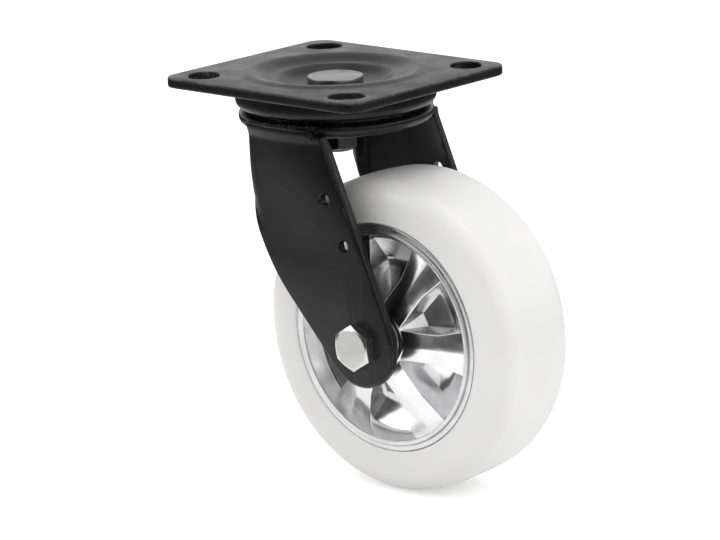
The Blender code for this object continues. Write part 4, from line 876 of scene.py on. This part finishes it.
CAMERA_ANGLES = (41.81, 14.53, -1.95)
CAMERA_PLACE = (1.1335, -1.2537, 0.3347)
CAMERA_LENS = 172.4
FLOOR_COLOUR = (0.86, 0.86, 0.86)
FLOOR_GLOW = 0.45
LAMP_TARGET = Vector((0.03, 0, -0.1))
# name, place, size in metres, power in watts
LAMPS = (("overhead_softbox", (0.35, 0.25, 1.5), 1.3, 5.4), ("right_softbox", (1.5, 0.6, 0.7), 1.0, 3.0),
         ("left_softbox", (-1.2, -1.1, 0.7), 0.9, 3.0))


def make_camera():
    """Camera at the photograph's angle, from its solved yaw, pitch and roll."""
    yaw, pitch, roll = (math.radians(value) for value in CAMERA_ANGLES)
    ahead = Vector((-math.sin(yaw) * math.cos(pitch), math.cos(yaw) * math.cos(pitch), -math.sin(pitch)))
    right = ahead.cross(Vector((0, 0, 1))).normalized()
    up = right.cross(ahead)
    side = right * math.cos(roll) + up * math.sin(roll)
    top = up * math.cos(roll) - right * math.sin(roll)
    data = bpy.data.cameras.new("photo_camera")
    data.lens = CAMERA_LENS
    data.clip_end = 60
    camera = bpy.data.objects.new("photo_camera", data)
    bpy.context.scene.collection.objects.link(camera)
    place = Matrix((side, top, -ahead)).transposed().to_4x4()
    place.translation = CAMERA_PLACE
    camera.matrix_world = place
    bpy.context.scene.camera = camera


def calculate(tree, operation, first, second, third=None):
    """One Math node."""
    inputs = {"i0": first, "i1": second}
    if third is not None:
        inputs["i2"] = third
    return add_node(tree, "ShaderNodeMath", {"operation": operation}, **inputs).outputs["Value"]


def fade_between(tree, value, start, end, low=0.0, high=1.0):
    """Smooth step of a value between two limits."""
    return add_node(tree, "ShaderNodeMapRange", {"interpolation_type": "SMOOTHSTEP"}, Value=value, From_Min=start,
                    From_Max=end, To_Min=low, To_Max=high).outputs["Result"]


def make_studio():
    """Pale floor, white surroundings that are dim towards the front and below, and three soft lamps."""
    floor = bmesh.new()
    bmesh.ops.create_circle(floor, cap_ends=True, segments=96, radius=9)
    bmesh.ops.translate(floor, verts=floor.verts, vec=(0, 0, FLOOR))
    material = bpy.data.materials.new("pale_floor")
    material.use_nodes = True
    tree = material.node_tree
    shader = tree.nodes["Principled BSDF"]
    shader.inputs["Base Color"].default_value = (*FLOOR_COLOUR, 1)
    shader.inputs["Roughness"].default_value = 0.9
    shader.inputs["Specular IOR Level"].default_value = 0.0
    shader.inputs["Emission Color"].default_value = (1, 1, 1, 1)
    path = tree.nodes.new("ShaderNodeLightPath")
    place = tree.nodes.new("ShaderNodeTexCoord").outputs["Object"]
    away = add_node(tree, "ShaderNodeVectorMath", {"operation": "LENGTH"}, i0=place).outputs["Value"]
    pool = calculate(tree, "MULTIPLY", path.outputs["Is Glossy Ray"], fade_between(tree, away, 0.30, 0.80, 1.0, 0.0))
    seen = calculate(tree, "MAXIMUM", calculate(tree, "MAXIMUM", path.outputs["Is Camera Ray"],
                                                path.outputs["Is Transmission Ray"]), pool)
    tree.links.new(calculate(tree, "MULTIPLY", seen, FLOOR_GLOW), shader.inputs["Emission Strength"])
    dim = calculate(tree, "MULTIPLY", path.outputs["Is Glossy Ray"], fade_between(tree, away, 0.35, 0.75))
    tree.links.new(mix_colours(tree, dim, FLOOR_COLOUR, (0.05, 0.05, 0.05)), shader.inputs["Base Color"])
    finish_piece("pale_floor", floor, [material], None)

    world = bpy.data.worlds.new("white_studio")
    world.use_nodes = True
    tree = world.node_tree
    back = tree.nodes["Background"]
    back.inputs["Color"].default_value = (1, 1, 1, 1)
    path = tree.nodes.new("ShaderNodeLightPath")
    direction = tree.nodes.new("ShaderNodeTexCoord").outputs["Generated"]
    height = add_node(tree, "ShaderNodeSeparateXYZ", Vector=direction).outputs["Z"]
    towards = add_node(tree, "ShaderNodeVectorMath", {"operation": "DOT_PRODUCT"}, i0=direction,
                       i1=(0.25, -0.955, 0.15)).outputs["Value"]
    above = fade_between(tree, height, -0.04, 0.06, 0.05, 1.0)
    front = fade_between(tree, towards, 0.70, 0.93, 1.0, 0.08)
    reflected = calculate(tree, "MULTIPLY", path.outputs["Is Glossy Ray"], calculate(tree, "MULTIPLY", above, front))
    direct = calculate(tree, "MAXIMUM", path.outputs["Is Camera Ray"], path.outputs["Is Transmission Ray"])
    soft = calculate(tree, "SUBTRACT", 1.0, calculate(tree, "MAXIMUM", direct, path.outputs["Is Glossy Ray"]))
    strength = calculate(tree, "MULTIPLY_ADD", soft, 0.84, calculate(tree, "MAXIMUM", direct, reflected))
    tree.links.new(strength, back.inputs["Strength"])
    bpy.context.scene.world = world

    for name, place, size, power in LAMPS:
        data = bpy.data.lights.new(name, "AREA")
        data.size = size
        data.energy = power
        lamp = bpy.data.objects.new(name, data)
        lamp.location = place
        lamp.rotation_euler = (LAMP_TARGET - Vector(place)).to_track_quat("-Z", "Y").to_euler()
        bpy.context.scene.collection.objects.link(lamp)
    bpy.context.scene.view_settings.view_transform = "Standard"


# ---------------------------------------------------------------- the castor

UP = (1.0, 1.0, 0.0)
ABOUT_AXLE = (1.0, 0.0, 1.0)

make_camera()
make_studio()

plate_finish = black_coat("coated_plate", (0.26, 0.42), 0.3)
head_finish = black_coat("coated_head", (0.22, 0.36))
leg_finish = black_coat("coated_leg", (0.24, 0.38))
weld_finish = black_coat("coated_weld", (0.22, 0.34), 0.5, 0.5)
kingpin_finish = turned_metal("kingpin_dull_zinc", (0.30, 0.30, 0.30), 0.34, SWIVEL, UP, 0.00006)
nut_finish = turned_metal("dark_nut_steel", (0.11, 0.11, 0.115), 0.3, SWIVEL, UP)
head_zinc = turned_metal("swivel_zinc", (0.60, 0.60, 0.58), 0.3, SWIVEL, UP)
axle_zinc = turned_metal("axle_bright_zinc", (0.62, 0.62, 0.61), 0.2, AXLE, ABOUT_AXLE)
bolt_face = turned_metal("bolt_face_zinc", (0.55, 0.55, 0.54), 0.28, AXLE, ABOUT_AXLE, 0.00005)
race_steel = turned_metal("race_steel", (0.56, 0.56, 0.56), 0.18, SWIVEL, UP)
ball_steel = turned_metal("ball_steel", (0.62, 0.62, 0.62), 0.12, AXLE, ABOUT_AXLE, 0.000002)
bearing_steel = turned_metal("bearing_steel", (0.58, 0.58, 0.58), 0.16, AXLE, ABOUT_AXLE)
# painted shade: the cages are near black so that the gap between race ring and crown renders black
cage_painted_shade = turned_metal("pressed_cage_painted_shade", (0.12, 0.12, 0.12), 0.35, AXLE, ABOUT_AXLE)
cast_finish = cast_aluminium("polished_casting")
machined_rim = turned_metal("machined_rim", (0.70, 0.70, 0.705), 0.30, AXLE, ABOUT_AXLE, 0.00001)
nylon = white_nylon("tread_nylon_white")
seal_rubber = plain_moulding("seal_rubber", (0.03, 0.03, 0.032), 0.55)
nut_insert = plain_moulding("nut_insert_nylon", (0.72, 0.72, 0.68), 0.45)

make_plate(plate_finish)
make_swivel_head(head_finish, kingpin_finish, head_zinc, race_steel, nut_finish)
make_ball_row("upper_balls_and_cage", UPPER_BALLS, 16, (0.0333, 0.0437, 0.0004), "upper_balls", "upper_ball_row",
              ball_steel, cage_painted_shade)
make_ball_row("lower_balls_and_cage", LOWER_BALLS, 12, (0.0158, 0.0242, 0.0004), "lower_balls", "lower_ball_row",
              ball_steel, cage_painted_shade)
for leg_side, leg_word in ((-1, "head_side"), (1, "nut_side")):
    make_leg(leg_side, leg_word, leg_finish)
    make_weld(leg_side, leg_word, weld_finish)
make_axle(axle_zinc, bolt_face, nut_insert)
make_rings_on_axle(axle_zinc, bearing_steel, seal_rubber, cage_painted_shade)
make_wheel(cast_finish, machined_rim, nylon)
